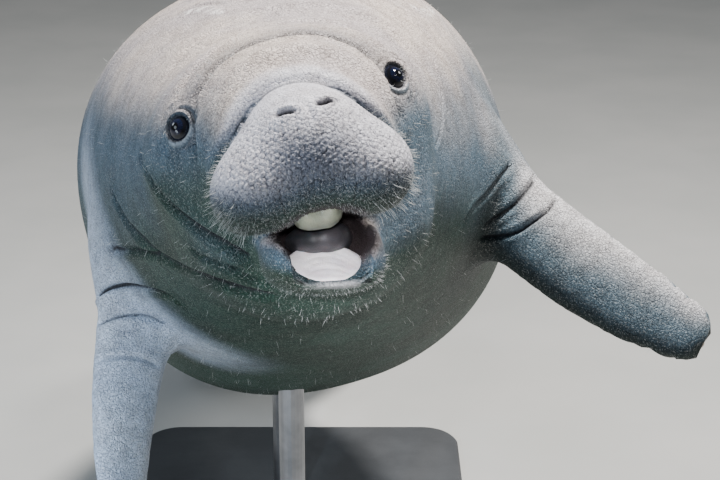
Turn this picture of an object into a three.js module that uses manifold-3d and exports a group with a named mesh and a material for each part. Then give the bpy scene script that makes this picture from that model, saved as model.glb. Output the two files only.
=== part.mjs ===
// A young manatee, life size, as a still display model on a plain stand.
// Millimetres, +Z up. The animal faces -Y and its left side is +X.
// The body is described once, straight and level, with its origin midway between the eyes
// (x to the animal's left, y towards the tail, z up), as one surface where skinDepth() is 0.
// Each solid is a sphere or grid of points pushed out to that surface, and pose() then bends
// and turns it into the swimming attitude.
import * as THREE from 'three';
import { mergeVertices } from 'three/addons/utils/BufferGeometryUtils.js';
import Module from 'manifold-3d';

const wasm = await Module();
wasm.setup();

const DEGREE = Math.PI / 180;
const GAP = 0.3;                   // clearance between neighbouring solids

// Driving sizes of the animal
const EYE_RADIUS = 12.5;
const EYE_HEIGHT_IN_HEAD = -2;
const EYE_SINK = 6;                // how far the ball's centre lies under the skin
const EYE_FORWARD = 0.6;           // lean of the eyes towards the front
const TAIL_START = 1560;           // narrowest place before the paddle, behind the eyes
const PADDLE_CENTRE = 1800;
const PADDLE_HALF_WIDTH = 250;
const PADDLE_HALF_LENGTH = 262;
const PADDLE_HALF_THICKNESS = 27;
const PADDLE_SQUARENESS = 2.2;
const PADDLE_RIM = 0.22;           // thickness at the rim as a share of the middle's
const PADDLE_SINK = 5;             // middle of the paddle under the eye line

// Trunk sections: distance behind the eyes, half width, top and bottom above the eye line
const TRUNK_SECTIONS = [
  { at: -40, half: 56, top: 30, bottom: -112 },
  { at: 60, half: 108, top: 62, bottom: -158 },
  { at: 175, half: 150, top: 98, bottom: -190 },
  { at: 320, half: 198, top: 150, bottom: -226 },
  { at: 480, half: 236, top: 192, bottom: -262 },
  { at: 660, half: 266, top: 222, bottom: -290 },
  { at: 860, half: 277, top: 236, bottom: -299 },
  { at: 1100, half: 256, top: 214, bottom: -268 },
  { at: 1330, half: 202, top: 160, bottom: -202 },
  { at: 1560, half: 122, top: 76, bottom: -96 },
  { at: 1720, half: 112, top: 38, bottom: -50 },
  { at: 1900, half: 90, top: 16, bottom: -24 },
];
const TRUNK_SQUARENESS = 2.25;     // 2 is an ellipse, more is boxier

// Attitude: the trunk swims up towards the viewer, banked to its right
const CLIMB = 20;                  // of the line from tail to head
const BANK = 14.7;
const HEAD_TURN = 6.4;             // to its left
const TRUNK_TURN = 0.9;
const TAIL_TURN = 10.8;            // further sideways sweep of the tail
const TAIL_DROP = 11.6;            // further downward sweep of the tail
const HEAD_TURN_FROM = 40;         // the neck turns between these two places
const HEAD_TURN_TO = 260;
const TAIL_SWEEP_FROM = 300;
const TAIL_SWEEP_TO = 1700;
const MUZZLE_SKEW = 0.09;          // the open mouth is pushed to the animal's right
const MUZZLE_ROLL = 0.06;          // and rolled, the lower jaw more than the muzzle
const JAW_ROLL = 0.15;

// Where the body is divided, behind the eyes
const MUZZLE_CUT = -66;
const JAW_CUT_HEIGHT = -119;
const NECK_CUT = 185;
const SHOULDER_CUT = 335;
const BELLY_CUT = 900;
const HIP_CUT = 1330;

// Stand
const BASE_LENGTH = 1180;
const BASE_WIDTH = 560;
const BASE_THICKNESS = 26;
const BASE_CORNER = 60;
const BASE_BEVEL = 4;
const ROD_RADIUS = 16;
const FLANGE_RADIUS = 46;
const FLANGE_HEIGHT = 14;
const FLANGE_BEVEL = 5;
const TAIL_CLEARANCE = 34;         // tail above the top of the base
const FRONT_ROD_AT = 560;
const REAR_ROD_AT = 1180;

const clamp01 = (value) => Math.min(1, Math.max(0, value));

function smoothStep(from, to, value) {
  const t = clamp01((value - from) / (to - from));
  return t * t * (3 - 2 * t);
}

// Blend of two depths, rounded over the given distance
function blend(a, b, over) {
  const h = clamp01(0.5 + 0.5 * (b - a) / over);
  return b + (a - b) * h - over * h * (1 - h);
}

// Depth of a point over an ellipsoid, about its true distance near the surface
function ellipsoid(x, y, z, centre, radii) {
  const px = (x - centre[0]) / radii[0];
  const py = (y - centre[1]) / radii[1];
  const pz = (z - centre[2]) / radii[2];
  const reach = Math.hypot(px, py, pz);
  const slope = Math.hypot(px / radii[0], py / radii[1], pz / radii[2]);
  return slope === 0 ? -Math.min(...radii) : reach * (reach - 1) / slope;
}

// Depth over an ellipsoid with fuller corners
function boxy(x, y, z, { centre, radii }) {
  const at = [x, y, z].map((value, k) => Math.abs((value - centre[k]) / radii[k]));
  const reach = at.reduce((sum, value) => sum + Math.pow(value, JAW_SQUARENESS), 0);
  return (Math.pow(reach, 1 / JAW_SQUARENESS) - 1) * Math.min(...radii);
}

// One value of the trunk sections at a place along the body, on a smooth curve
function trunkValue(name, y) {
  const last = TRUNK_SECTIONS.length - 1;
  const place = Math.min(Math.max(y, TRUNK_SECTIONS[0].at), TRUNK_SECTIONS[last].at);
  let i = 0;
  while (i < last - 1 && place > TRUNK_SECTIONS[i + 1].at) i += 1;
  const a = TRUNK_SECTIONS[i];
  const b = TRUNK_SECTIONS[i + 1];
  const before = TRUNK_SECTIONS[Math.max(i - 1, 0)];
  const after = TRUNK_SECTIONS[Math.min(i + 2, last)];
  const span = b.at - a.at;
  const slopeA = (b[name] - before[name]) / (b.at - before.at) * span;
  const slopeB = (after[name] - a[name]) / (after.at - a.at) * span;
  const t = (place - a.at) / span;
  const t2 = t * t;
  const t3 = t2 * t;
  return (2 * t3 - 3 * t2 + 1) * a[name] + (t3 - 2 * t2 + t) * slopeA
    + (3 * t2 - 2 * t3) * b[name] + (t3 - t2) * slopeB;
}

function trunkDepth(x, y, z) {
  const half = trunkValue('half', y);
  const top = trunkValue('top', y);
  const bottom = trunkValue('bottom', y);
  const tall = (top - bottom) / 2;
  const u = Math.abs(x) / half;
  const v = Math.abs(z - (top + bottom) / 2) / tall;
  const reach = Math.pow(Math.pow(u, TRUNK_SQUARENESS) + Math.pow(v, TRUNK_SQUARENESS),
    1 / TRUNK_SQUARENESS);
  const first = TRUNK_SECTIONS[0].at;
  const last = TRUNK_SECTIONS[TRUNK_SECTIONS.length - 1].at;
  const past = Math.max(first - y, y - last, 0);
  return (reach - 1) * Math.min(half, tall) + past;
}

// Masses of the head, on the left side; the right side mirrors them
const CRANIUM = { centre: [0, 70, -27], radii: [126, 108, 90] };
const FACE = { centre: [0, -14, -40], radii: [82, 76, 72] };
const SNOUT = { centre: [0, -80, -44], radii: [50, 46, 46] };
const DISC = { centre: [0, -90, -62], radii: [58, 47, 44] };
const LIP = { centre: [45, -88, -76], radii: [37, 45, 36] };
const JAW = { centre: [0, -58, -136], radii: [50, 60, 32] };
const JAW_SQUARENESS = 2.6;
const THROAT = { centre: [0, 74, -112], radii: [106, 112, 80] };
const SKEW_FROM = -19;             // height under which the muzzle is pushed aside

// How far the masses are rounded into one another
const ROUND = { throat: 40, face: 34, jaw: 22, disc: 22, lip: 20, muzzle: 3, crease: 4, neck: 36,
  shoulder: 50, paddle: 60 };

// Roll of the face round the muzzle, the crease between them, and the brow fold above,
// which is part of an ellipse as the viewer sees it from straight ahead
const MUZZLE_ROLL_SHAPE = { height: 7, at: 13, width: 9 };
const CREASE = { radius: 6, low: 0.35, bottom: -88, top: -52 };
const BROW_FOLD = { centre: -20, half: 85, tall: 65, front: -90, back: 20, width: 10, deep: 6 };

function browDepth(side, y, z) {
  const round = Math.hypot(side / BROW_FOLD.half, (z - BROW_FOLD.centre) / BROW_FOLD.tall);
  const away = (round - 1) * BROW_FOLD.tall / BROW_FOLD.width;
  const reach = smoothStep(BROW_FOLD.front, BROW_FOLD.front + 20, y)
    * smoothStep(BROW_FOLD.back + 20, BROW_FOLD.back, y) * smoothStep(-34, -16, z);
  return BROW_FOLD.deep * Math.exp(-away * away) * reach;
}

function headDepth(x, y, z) {
  const side = Math.abs(x);
  let depth = ellipsoid(side, y, z, CRANIUM.centre, CRANIUM.radii);
  depth = blend(depth, ellipsoid(side, y, z, THROAT.centre, THROAT.radii),
    ROUND.throat);
  depth = blend(depth, ellipsoid(side, y, z, FACE.centre, FACE.radii), ROUND.face);
  depth = blend(depth, boxy(side, y, z, JAW), ROUND.jaw);
  let muzzle = ellipsoid(side, y, z, SNOUT.centre, SNOUT.radii);
  muzzle = blend(muzzle, ellipsoid(side, y, z, DISC.centre, DISC.radii), ROUND.disc);
  muzzle = blend(muzzle, ellipsoid(side, y, z, LIP.centre, LIP.radii), ROUND.lip);
  const upper = smoothStep(CREASE.bottom, CREASE.top, z);
  const away = (muzzle - MUZZLE_ROLL_SHAPE.at) / MUZZLE_ROLL_SHAPE.width;
  depth -= MUZZLE_ROLL_SHAPE.height * upper * Math.exp(-away * away);
  const crease = Math.hypot(depth, muzzle) - CREASE.radius * (CREASE.low + (1 - CREASE.low) * upper);
  const folded = -blend(-blend(depth, muzzle, ROUND.muzzle), crease, ROUND.crease);
  return folded + browDepth(side, y, z);
}

function paddleDepth(x, y, z) {
  const across = x / PADDLE_HALF_WIDTH;
  const along = (y - PADDLE_CENTRE) / PADDLE_HALF_LENGTH;
  const plan = Math.pow(Math.pow(Math.abs(across), PADDLE_SQUARENESS)
    + Math.pow(Math.abs(along), PADDLE_SQUARENESS), 1 / PADDLE_SQUARENESS);
  const dome = Math.sqrt(clamp01(1 - plan * plan));
  const half = PADDLE_HALF_THICKNESS * (PADDLE_RIM + (1 - PADDLE_RIM) * dome);
  const over = (Math.abs(z + PADDLE_SINK) - half) * 0.94;
  const out = (plan - 1) * PADDLE_HALF_WIDTH;
  return blend(over, out, -10);
}

// Folds across the neck and the mass of the shoulder
const NECK_FOLDS = [{ at: 226, lean: 0.06 }, { at: 292, lean: 0.06 }];
const NECK_FOLD_WIDTH = 17;
const NECK_FOLD_DEEP = 6;
const SHOULDER_MASS = { centre: [172, 425, -90], radii: [56, 80, 64] };

function neckFoldDepth(y, z) {
  let deep = 0;
  NECK_FOLDS.forEach(({ at, lean }) => {
    const away = (y - at - lean * (z + 60)) / NECK_FOLD_WIDTH;
    deep += NECK_FOLD_DEEP * Math.exp(-away * away);
  });
  return deep * smoothStep(110, -40, z);
}

// Depth of a point over the whole skin of head, trunk and tail: 0 on the surface
function skinDepth(x, y, z) {
  let depth = trunkDepth(x, y, z);
  if (y > 260 && y < 600) {
    const { centre, radii } = SHOULDER_MASS;
    depth = blend(depth, ellipsoid(Math.abs(x), y, z, centre, radii), ROUND.shoulder);
  }
  if (y < 330) depth = blend(depth, headDepth(x, y, z), ROUND.neck);
  if (y > 1200) depth = blend(depth, paddleDepth(x, y, z), ROUND.paddle);
  if (y > 100 && y < 420) depth += neckFoldDepth(y, z);
  return depth;
}

// Farthest distance along a ray at which the skin's depth equals the level
function skinAlong(origin, direction, reach, level) {
  const steps = 48;
  let outer = reach;
  const depthAt = (t) => skinDepth(origin.x + direction.x * t, origin.y + direction.y * t,
    origin.z + direction.z * t) - level;
  for (let i = steps; i > 0; i -= 1) {
    const t = reach * i / steps;
    if (depthAt(t) < 0) break;
    outer = t;
  }
  let inner = Math.max(outer - reach / steps, 0);
  for (let i = 0; i < 16; i += 1) {
    const middle = (inner + outer) / 2;
    if (depthAt(middle) < 0) inner = middle;
    else outer = middle;
  }
  return (inner + outer) / 2;
}

// Centre line of the body in the viewer's level frame: x left, y away, z up
const LINE_STEP = 10;
const LINE_START = -200;
const LINE_END = 2200;

// Axes of the body at a place: bank first, then the sideways turn, then the tail's drop
function bodyAxes(y) {
  const neck = smoothStep(HEAD_TURN_FROM, HEAD_TURN_TO, y);
  const sweep = smoothStep(TAIL_SWEEP_FROM, TAIL_SWEEP_TO, y);
  const turn = HEAD_TURN + (TRUNK_TURN - HEAD_TURN) * neck + TAIL_TURN * sweep;
  return new THREE.Matrix4().makeRotationX(-CLIMB * DEGREE)
    .multiply(new THREE.Matrix4().makeRotationY(-BANK * DEGREE))
    .multiply(new THREE.Matrix4().makeRotationZ(turn * DEGREE))
    .multiply(new THREE.Matrix4().makeRotationX(-TAIL_DROP * sweep * DEGREE));
}

const centreLine = [];
{
  const point = new THREE.Vector3();
  const step = new THREE.Vector3();
  for (let y = LINE_START; y <= LINE_END; y += LINE_STEP) {
    centreLine.push(point.clone());
    step.set(0, LINE_STEP, 0).transformDirection(bodyAxes(y + LINE_STEP / 2));
    point.addScaledVector(step, LINE_STEP);
  }
  const eyes = centreLine[-LINE_START / LINE_STEP].clone();
  centreLine.forEach((place) => place.sub(eyes));
}

// Place of a point of the straight body in the posed one
function pose(point) {
  const front = smoothStep(20, -60, point.y);
  const skew = MUZZLE_SKEW * front * Math.min(point.z - SKEW_FROM, 0);
  const roll = (MUZZLE_ROLL + JAW_ROLL * smoothStep(-104, -132, point.z)) * front;
  const at = (point.y - LINE_START) / LINE_STEP;
  const i = Math.min(Math.max(Math.floor(at), 0), centreLine.length - 2);
  const offset = new THREE.Vector3(point.x + skew, 0, point.z - roll * point.x);
  const axes = bodyAxes(point.y);
  offset.applyMatrix4(axes);
  return offset.addScaledVector(centreLine[i], 1 - (at - i))
    .addScaledVector(centreLine[i + 1], at - i);
}

function bare(geometry) {
  geometry.deleteAttribute('normal');
  geometry.deleteAttribute('uv');
  return mergeVertices(geometry, 1e-4);
}

function solid(geometry) {
  const merged = bare(geometry);
  return new wasm.Manifold(new wasm.Mesh({
    numProp: 3,
    vertProperties: new Float32Array(merged.attributes.position.array),
    triVerts: new Uint32Array(merged.index.array),
  }));
}

function largest(body) {
  return body.decompose().sort((a, b) => b.volume() - a.volume())[0];
}

function reshaped(geometry, place) {
  const merged = bare(geometry);
  const position = merged.attributes.position;
  const point = new THREE.Vector3();
  for (let i = 0; i < position.count; i += 1) {
    point.fromBufferAttribute(position, i);
    place(point);
    position.setXYZ(i, point.x, point.y, point.z);
  }
  return merged;
}

// The same geometry on the animal's right, with its faces turned out again
function onSide(geometry, side) {
  if (side > 0) return geometry;
  const merged = bare(geometry);
  merged.scale(-1, 1, 1);
  const order = merged.index.array;
  for (let i = 0; i < order.length; i += 3) {
    [order[i], order[i + 1]] = [order[i + 1], order[i]];
  }
  return merged;
}

// Head: a ball of points around a centre in the muzzle, so that they lie closest there
const HEAD_CENTRE = new THREE.Vector3(0, -22, -66);
const HEAD_DETAIL = 12;

function headSolid(level) {
  return solid(reshaped(new THREE.IcosahedronGeometry(1, HEAD_DETAIL), (point) => {
    point.normalize();
    const reach = skinAlong(HEAD_CENTRE, point, 420, level);
    point.multiplyScalar(reach).add(HEAD_CENTRE);
  }));
}

// Trunk and tail: rings of points across the body, pushed out from the centre line
const TRUNK_FROM = 20;
const TRUNK_TO = PADDLE_CENTRE + PADDLE_HALF_LENGTH;
const RING_STOPS = [
  { share: 0, y: TRUNK_TO + 0.2 },
  { share: 0.3, y: 1520 },
  { share: 0.55, y: 440 },
  { share: 0.93, y: 150 },
  { share: 1, y: TRUNK_FROM },
];

function ringPlace(share) {
  let i = 0;
  while (i < RING_STOPS.length - 2 && share > RING_STOPS[i + 1].share) i += 1;
  const from = RING_STOPS[i];
  const to = RING_STOPS[i + 1];
  const t = (share - from.share) / (to.share - from.share);
  return from.y + (to.y - from.y) * (i === 0 ? Math.pow(t, 1.5) : t);
}

function trunkSolid(level, rings, around) {
  return solid(reshaped(new THREE.SphereGeometry(1, around, rings), (point) => {
    const part = Math.acos(THREE.MathUtils.clamp(point.y, -1, 1)) / Math.PI;
    const y = ringPlace(part);
    const flat = smoothStep(1400, PADDLE_CENTRE, y);
    const middle = (trunkValue('top', y) + trunkValue('bottom', y)) / 2 * (1 - flat)
      - PADDLE_SINK * flat;
    const centre = new THREE.Vector3(0, y, middle);
    const ring = Math.hypot(point.x, point.z);
    if (ring < 1e-6) {
      point.copy(centre);
      return;
    }
    const wide = point.x / ring;
    const high = point.z / ring * (1 - 0.86 * flat);
    const direction = new THREE.Vector3(wide, 0, high).normalize();
    const reach = skinAlong(centre, direction, 340, level);
    point.copy(direction).multiplyScalar(reach).add(centre);
  }));
}

function between(body, from, to) {
  return body.trimByPlane([0, 1, 0], from + GAP / 2).trimByPlane([0, -1, 0], -(to - GAP / 2));
}

// An ellipsoid as a solid, for cuts and for the soft parts of the mouth
function egg(centre, radii, around = 20, rings = 12) {
  return solid(new THREE.SphereGeometry(1, around, rings)
    .scale(radii[0], radii[1], radii[2])
    .translate(centre[0], centre[1], centre[2]));
}

// A point and outward direction of the skin on the animal's left, level with the eye line
function skinPlace(y, z) {
  const origin = new THREE.Vector3(0, y, z);
  const x = skinAlong(origin, new THREE.Vector3(1, 0, 0), 300, 0);
  const step = 1;
  const out = new THREE.Vector3(
    skinDepth(x + step, y, z) - skinDepth(x - step, y, z),
    skinDepth(x, y + step, z) - skinDepth(x, y - step, z),
    skinDepth(x, y, z + step) - skinDepth(x, y, z - step),
  ).normalize();
  return { point: new THREE.Vector3(x, y, z), out };
}

// Turns a shape built about the origin, facing +Z, to face outwards at a place of the skin
function facing(geometry, place, out) {
  const turn = new THREE.Quaternion().setFromUnitVectors(new THREE.Vector3(0, 0, 1), out);
  geometry.applyQuaternion(turn);
  return geometry.translate(place.x, place.y, place.z);
}

const SIDES = [{ name: 'left', side: 1 }, { name: 'right', side: -1 }];

const eyePlace = skinPlace(0, EYE_HEIGHT_IN_HEAD);
eyePlace.out.y -= EYE_FORWARD;
eyePlace.out.normalize();
const eyeCentre = eyePlace.point.clone().addScaledVector(eyePlace.out, -EYE_SINK);

function eyeSolid(side, radius) {
  const ball = new THREE.SphereGeometry(radius, 16, 12);
  return solid(ball.translate(eyeCentre.x * side, eyeCentre.y, eyeCentre.z));
}

// Lids: a thick rolled ring round each eye, in a socket that opens outwards
const LID = { inner: 10.1, ring: 12.7, outer: 15.4, skirt: 20, tall: 2.6, low: 9 };
const SOCKET = { inner: 10.2, outer: 31.5, low: -4, high: 13 };

function lidRing(side) {
  const { inner, ring, outer, skirt, tall, low } = LID;
  const profile = [[inner, -low], [skirt, -low], [outer, 0], [ring + 1.5, tall * 0.8], [ring, tall],
    [ring - 1.5, tall * 0.8], [inner, 0], [inner, -low]].map(([r, h]) => new THREE.Vector2(r, h));
  const lids = new THREE.LatheGeometry(profile, 18).rotateX(Math.PI / 2);
  return solid(onSide(facing(lids, eyePlace.point, eyePlace.out), side));
}

function socketCut(side) {
  const { inner, outer, low, high } = SOCKET;
  const cone = new THREE.CylinderGeometry(outer, inner, high - low, 18).rotateX(Math.PI / 2)
    .translate(0, 0, (high + low) / 2);
  return solid(onSide(facing(cone, eyePlace.point, eyePlace.out), side));
}

// Nostrils: crescent slits on the top of the snout
const NOSTRIL = { at: 17, y: -120, z: -16, half: 9, slit: 2.2, deep: 14, bow: 4 };

function nostrilCut(side) {
  const { at, y, z, half, slit, deep, bow } = NOSTRIL;
  return solid(onSide(reshaped(new THREE.SphereGeometry(1, 12, 8), (point) => {
    const sag = bow * point.x * point.x;
    point.set(at + point.x * half, y + point.y * deep, z + point.z * slit - sag);
  }), side));
}

// Mouth: the cavity, and the soft parts that fill its floor and roof
const CAVITY = { centre: [3, -79, -122], radii: [38, 72, 22] };
const LIP_SLIT = { centre: [0, -62, -112], radii: [64, 44, 3] };
const TONGUE = { centre: [0, -38, -122], radii: [28, 40, 16] };
const UPPER_PAD = { centre: [0, -86, -98], radii: [20, 28, 17] };
const LOWER_PAD = { centre: [1, -78, -147], radii: [33, 40, 25] };
const LIP_RIM = 5;                 // thickness of the lower lip round the pad
const LIP_HEIGHT = 1;              // of the lower lip over the pad
const MOUTH_OPENING = { side: 30, top: -112, low: -180, front: -150, back: -40 };

// The lower pad's top slopes down to the front
const PAD_TOP = new THREE.Vector3(0, -100, -158.5);
const PAD_OUT = new THREE.Vector3(0, -0.574, 0.819).normalize();

function grown(part, by, around, rings) {
  return egg(part.centre, part.radii.map((radius) => radius + by), around, rings);
}

// The jaw's own shape, smaller by a given thickness
function jawRoom(thickness) {
  return solid(reshaped(new THREE.SphereGeometry(1, 24, 16), (point) => {
    const shape = [point.x, point.y, point.z].map((value) => Math.pow(Math.abs(value), JAW_SQUARENESS));
    const reach = Math.pow(shape[0] + shape[1] + shape[2], 1 / JAW_SQUARENESS);
    const sizes = new THREE.Vector3(...JAW.radii).subScalar(thickness);
    point.divideScalar(reach).multiply(sizes).add(new THREE.Vector3(...JAW.centre));
  }));
}

function belowPadTop(body, lift) {
  return body.trimByPlane(PAD_OUT.clone().negate().toArray(), -(PAD_OUT.dot(PAD_TOP) + lift));
}

function abovePadTop(body, lift) {
  return body.trimByPlane(PAD_OUT.toArray(), PAD_OUT.dot(PAD_TOP) + lift);
}

function mouthOpening() {
  const { side, top, low, front, back } = MOUTH_OPENING;
  const box = new THREE.BoxGeometry(2 * side, back - front, top - low)
    .translate(CAVITY.centre[0], (front + back) / 2, (top + low) / 2);
  return abovePadTop(solid(box), LIP_HEIGHT);
}

function lowerPadBody(gap) {
  const plate = grown(LOWER_PAD, gap, 24, 14).intersect(jawRoom(LIP_RIM - gap));
  return belowPadTop(plate, gap);
}

const EAR = { y: 72, z: -14, radius: 3 };

function earPit(side) {
  const { point } = skinPlace(EAR.y, EAR.z);
  return egg([point.x * side, point.y, point.z], [EAR.radius, EAR.radius, EAR.radius], 8, 6);
}

function wholeHead() {
  let head = headSolid(0);
  SIDES.forEach(({ side }) => {
    head = head.subtract(socketCut(side)).add(lidRing(side));
  });
  head = head.subtract(grown(CAVITY, 0)).subtract(grown(LIP_SLIT, 0));
  head = head.subtract(mouthOpening()).subtract(lowerPadBody(GAP));
  head = head.subtract(abovePadTop(jawRoom(LIP_RIM).intersect(grown(LOWER_PAD, GAP, 24, 14)), 0));
  SIDES.forEach(({ side }) => {
    head = head.subtract(eyeSolid(side, EYE_RADIUS + GAP));
    head = head.subtract(nostrilCut(side)).subtract(earPit(side));
  });
  return head;
}

// Flipper sections: distance from the shoulder point, half width and half thickness
const FLIPPER_LENGTH = 310;
const FLIPPER_TIP = 48;            // length of the rounded tip
const FLIPPER_SECTIONS = [
  { at: -70, half: 50, thick: 34 },
  { at: 0, half: 50, thick: 33 },
  { at: 70, half: 47, thick: 27 },
  { at: 150, half: 46, thick: 21 },
  { at: 215, half: 42, thick: 17 },
  { at: 270, half: 34, thick: 13 },
];

// Shoulder point, directions to the tip and of the palm, bow across and towards the palm,
// twist towards the tip, and by how much of its width the blade is slimmer
const SLIM_FROM = 0;
const SLIM_TO = 150;
const FLIPPERS = {
  left: {
    root: new THREE.Vector3(196, 420, -112),
    aim: new THREE.Vector3(0.56, -0.44, -0.703),
    facing: new THREE.Vector3(0, -1, 0),
    bowAcross: 10,
    bowPalm: 14,
    twist: 0,
    slim: 0,
  },
  right: {
    root: new THREE.Vector3(184, 420, -112),
    aim: new THREE.Vector3(0.255, -0.475, -0.842),
    facing: new THREE.Vector3(-0.5, -0.85, 0),
    bowAcross: -18,
    bowPalm: 10,
    twist: -30,
    slim: 0.12,
  },
};

// Nails on the back of the flipper, near its tip
const NAIL = { half: 11, wide: 8, thick: 4.5, seat: 0.72 };
const NAILS = [{ at: 276, across: -14 }, { at: 288, across: 2 }, { at: 278, across: 18 }];

function flipperValue(name, at) {
  const sections = FLIPPER_SECTIONS;
  let i = 0;
  while (i < sections.length - 2 && at > sections[i + 1].at) i += 1;
  const t = clamp01((at - sections[i].at) / (sections[i + 1].at - sections[i].at));
  const ease = t * t * (3 - 2 * t);
  return sections[i][name] + (sections[i + 1][name] - sections[i][name]) * (0.5 * t + 0.5 * ease);
}

function flipperFrame({ name }) {
  const flipper = FLIPPERS[name];
  const along = flipper.aim.clone().normalize();
  const palm = flipper.facing.clone().addScaledVector(along, -flipper.facing.dot(along)).normalize();
  const across = new THREE.Vector3().crossVectors(along, palm).normalize();
  return { ...flipper, along, palm, across };
}

function flipperPoint(frame, at, across, palm) {
  const bow = Math.sin(clamp01(at / FLIPPER_LENGTH) * Math.PI);
  const angle = frame.twist * DEGREE * at / FLIPPER_LENGTH;
  const wide = across * Math.cos(angle) - palm * Math.sin(angle) + frame.bowAcross * bow;
  const thick = across * Math.sin(angle) + palm * Math.cos(angle) + frame.bowPalm * bow;
  return frame.root.clone().addScaledVector(frame.along, at)
    .addScaledVector(frame.across, wide)
    .addScaledVector(frame.palm, thick);
}

function flipperSolid(which) {
  const frame = flipperFrame(which);
  const start = FLIPPER_SECTIONS[0].at;
  const geometry = reshaped(new THREE.SphereGeometry(1, 16, 18), (point) => {
    const part = Math.acos(THREE.MathUtils.clamp(-point.y, -1, 1)) / Math.PI;
    const at = start + (FLIPPER_LENGTH - start) * part;
    const ring = Math.max(Math.hypot(point.x, point.z), 1e-9);
    const tip = clamp01((FLIPPER_LENGTH - at) / FLIPPER_TIP);
    const root = clamp01((at - start) / 12);
    const round = Math.sqrt(1 - (1 - tip) * (1 - tip)) * Math.sqrt(1 - (1 - root) * (1 - root));
    const slimmer = 1 - frame.slim * smoothStep(SLIM_FROM, SLIM_TO, at);
    const wide = point.x / ring * flipperValue('half', at) * slimmer * round;
    const thick = point.z / ring * flipperValue('thick', at) * round;
    point.copy(flipperPoint(frame, at, wide, thick));
  });
  const nails = NAILS.map(({ at, across }) => {
    const nail = new THREE.SphereGeometry(1, 8, 6);
    return onSide(reshaped(nail, (point) => {
      const over = -flipperValue('thick', at) * NAIL.seat + point.z * NAIL.thick;
      point.copy(flipperPoint(frame, at + point.y * NAIL.half, across + point.x * NAIL.wide, over));
    }), which.side);
  });
  return nails.reduce((body, nail) => body.add(solid(nail)), solid(onSide(geometry, which.side)));
}

function posedMesh(name, body, material) {
  const mesh = largest(body).getMesh();
  const geometry = new THREE.BufferGeometry();
  const place = new Float32Array(mesh.vertProperties.length / mesh.numProp * 3);
  const point = new THREE.Vector3();
  for (let i = 0; i < place.length / 3; i += 1) {
    point.fromArray(mesh.vertProperties, i * mesh.numProp);
    pose(point).toArray(place, i * 3);
  }
  geometry.setAttribute('position', new THREE.BufferAttribute(place, 3));
  geometry.setIndex(Array.from(mesh.triVerts));
  const part = new THREE.Mesh(geometry, material);
  part.name = name;
  return part;
}

const skinFinish = new THREE.MeshStandardMaterial({ color: 0x9a948f, roughness: 0.72 });
const eyeFinish = new THREE.MeshStandardMaterial({ color: 0x14161a, roughness: 0.12 });
const padFinish = new THREE.MeshStandardMaterial({ color: 0xc4bfc6, roughness: 0.5 });
const tongueFinish = new THREE.MeshStandardMaterial({ color: 0x93808c, roughness: 0.45 });
const standFinish = new THREE.MeshStandardMaterial({ color: 0x2c2e31, roughness: 0.45 });

const manatee = new THREE.Group();
const animal = new THREE.Group();
manatee.add(animal);

// Head in three nodes: the muzzle and the lower jaw in front, the rest behind
const head = wholeHead();
const face = head.trimByPlane([0, -1, 0], -(MUZZLE_CUT - GAP / 2));
const upperFace = face.trimByPlane([0, 0, 1], JAW_CUT_HEIGHT + GAP / 2);
const lowerFace = face.trimByPlane([0, 0, -1], -(JAW_CUT_HEIGHT - GAP / 2));
animal.add(posedMesh('head', between(head, MUZZLE_CUT, NECK_CUT), skinFinish));
animal.add(posedMesh('muzzle', upperFace, skinFinish));
animal.add(posedMesh('lower_jaw', lowerFace, skinFinish));

// Soft parts of the mouth, each cut to the cavity and to the one before it
const room = grown(CAVITY, -GAP);
const upperPad = grown(UPPER_PAD, 0, 16, 10).intersect(room);
const lowerPad = lowerPadBody(0);
const tongue = grown(TONGUE, 0, 18, 12).intersect(room).subtract(lowerPadBody(GAP));
animal.add(posedMesh('upper_pad', upperPad, padFinish));
animal.add(posedMesh('lower_pad', lowerPad, padFinish));
animal.add(posedMesh('tongue', tongue, tongueFinish));

// Neck, trunk and tail, one long body parted across
const TRUNK_RINGS = 48;
const TRUNK_AROUND = 34;
const TRUNK_NODES = [
  { name: 'neck', from: NECK_CUT, to: SHOULDER_CUT },
  { name: 'torso_front', from: SHOULDER_CUT, to: BELLY_CUT },
  { name: 'torso_rear', from: BELLY_CUT, to: HIP_CUT },
  { name: 'tail_stock', from: HIP_CUT, to: TAIL_START },
  { name: 'tail_paddle', from: TAIL_START, to: TRUNK_TO + 1 },
];
const trunk = trunkSolid(0, TRUNK_RINGS, TRUNK_AROUND);
TRUNK_NODES.forEach(({ name, from, to }) => {
  animal.add(posedMesh(name, between(trunk, from, to), skinFinish));
});

const trunkGrown = trunkSolid(GAP, TRUNK_RINGS, TRUNK_AROUND);
SIDES.forEach((which) => {
  const flipper = flipperSolid(which).subtract(trunkGrown);
  animal.add(posedMesh(`flipper_${which.name}`, flipper, skinFinish));
  animal.add(posedMesh(`eye_${which.name}`, eyeSolid(which.side, EYE_RADIUS), eyeFinish));
});

// Stand: a flat base with rounded corners, and two rods up to the belly
const posedGrown = posedMesh('grown', trunkGrown, skinFinish);
const grownBody = solid(posedGrown.geometry.clone());
const lowest = new THREE.Box3().setFromObject(animal).min.z;
const baseTop = lowest - TAIL_CLEARANCE;

function standPlace(at) {
  return pose(new THREE.Vector3(0, at, 0));
}

const frontRod = standPlace(FRONT_ROD_AT);
const rearRod = standPlace(REAR_ROD_AT);
const baseMiddle = frontRod.clone().add(rearRod).multiplyScalar(0.5);

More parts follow.
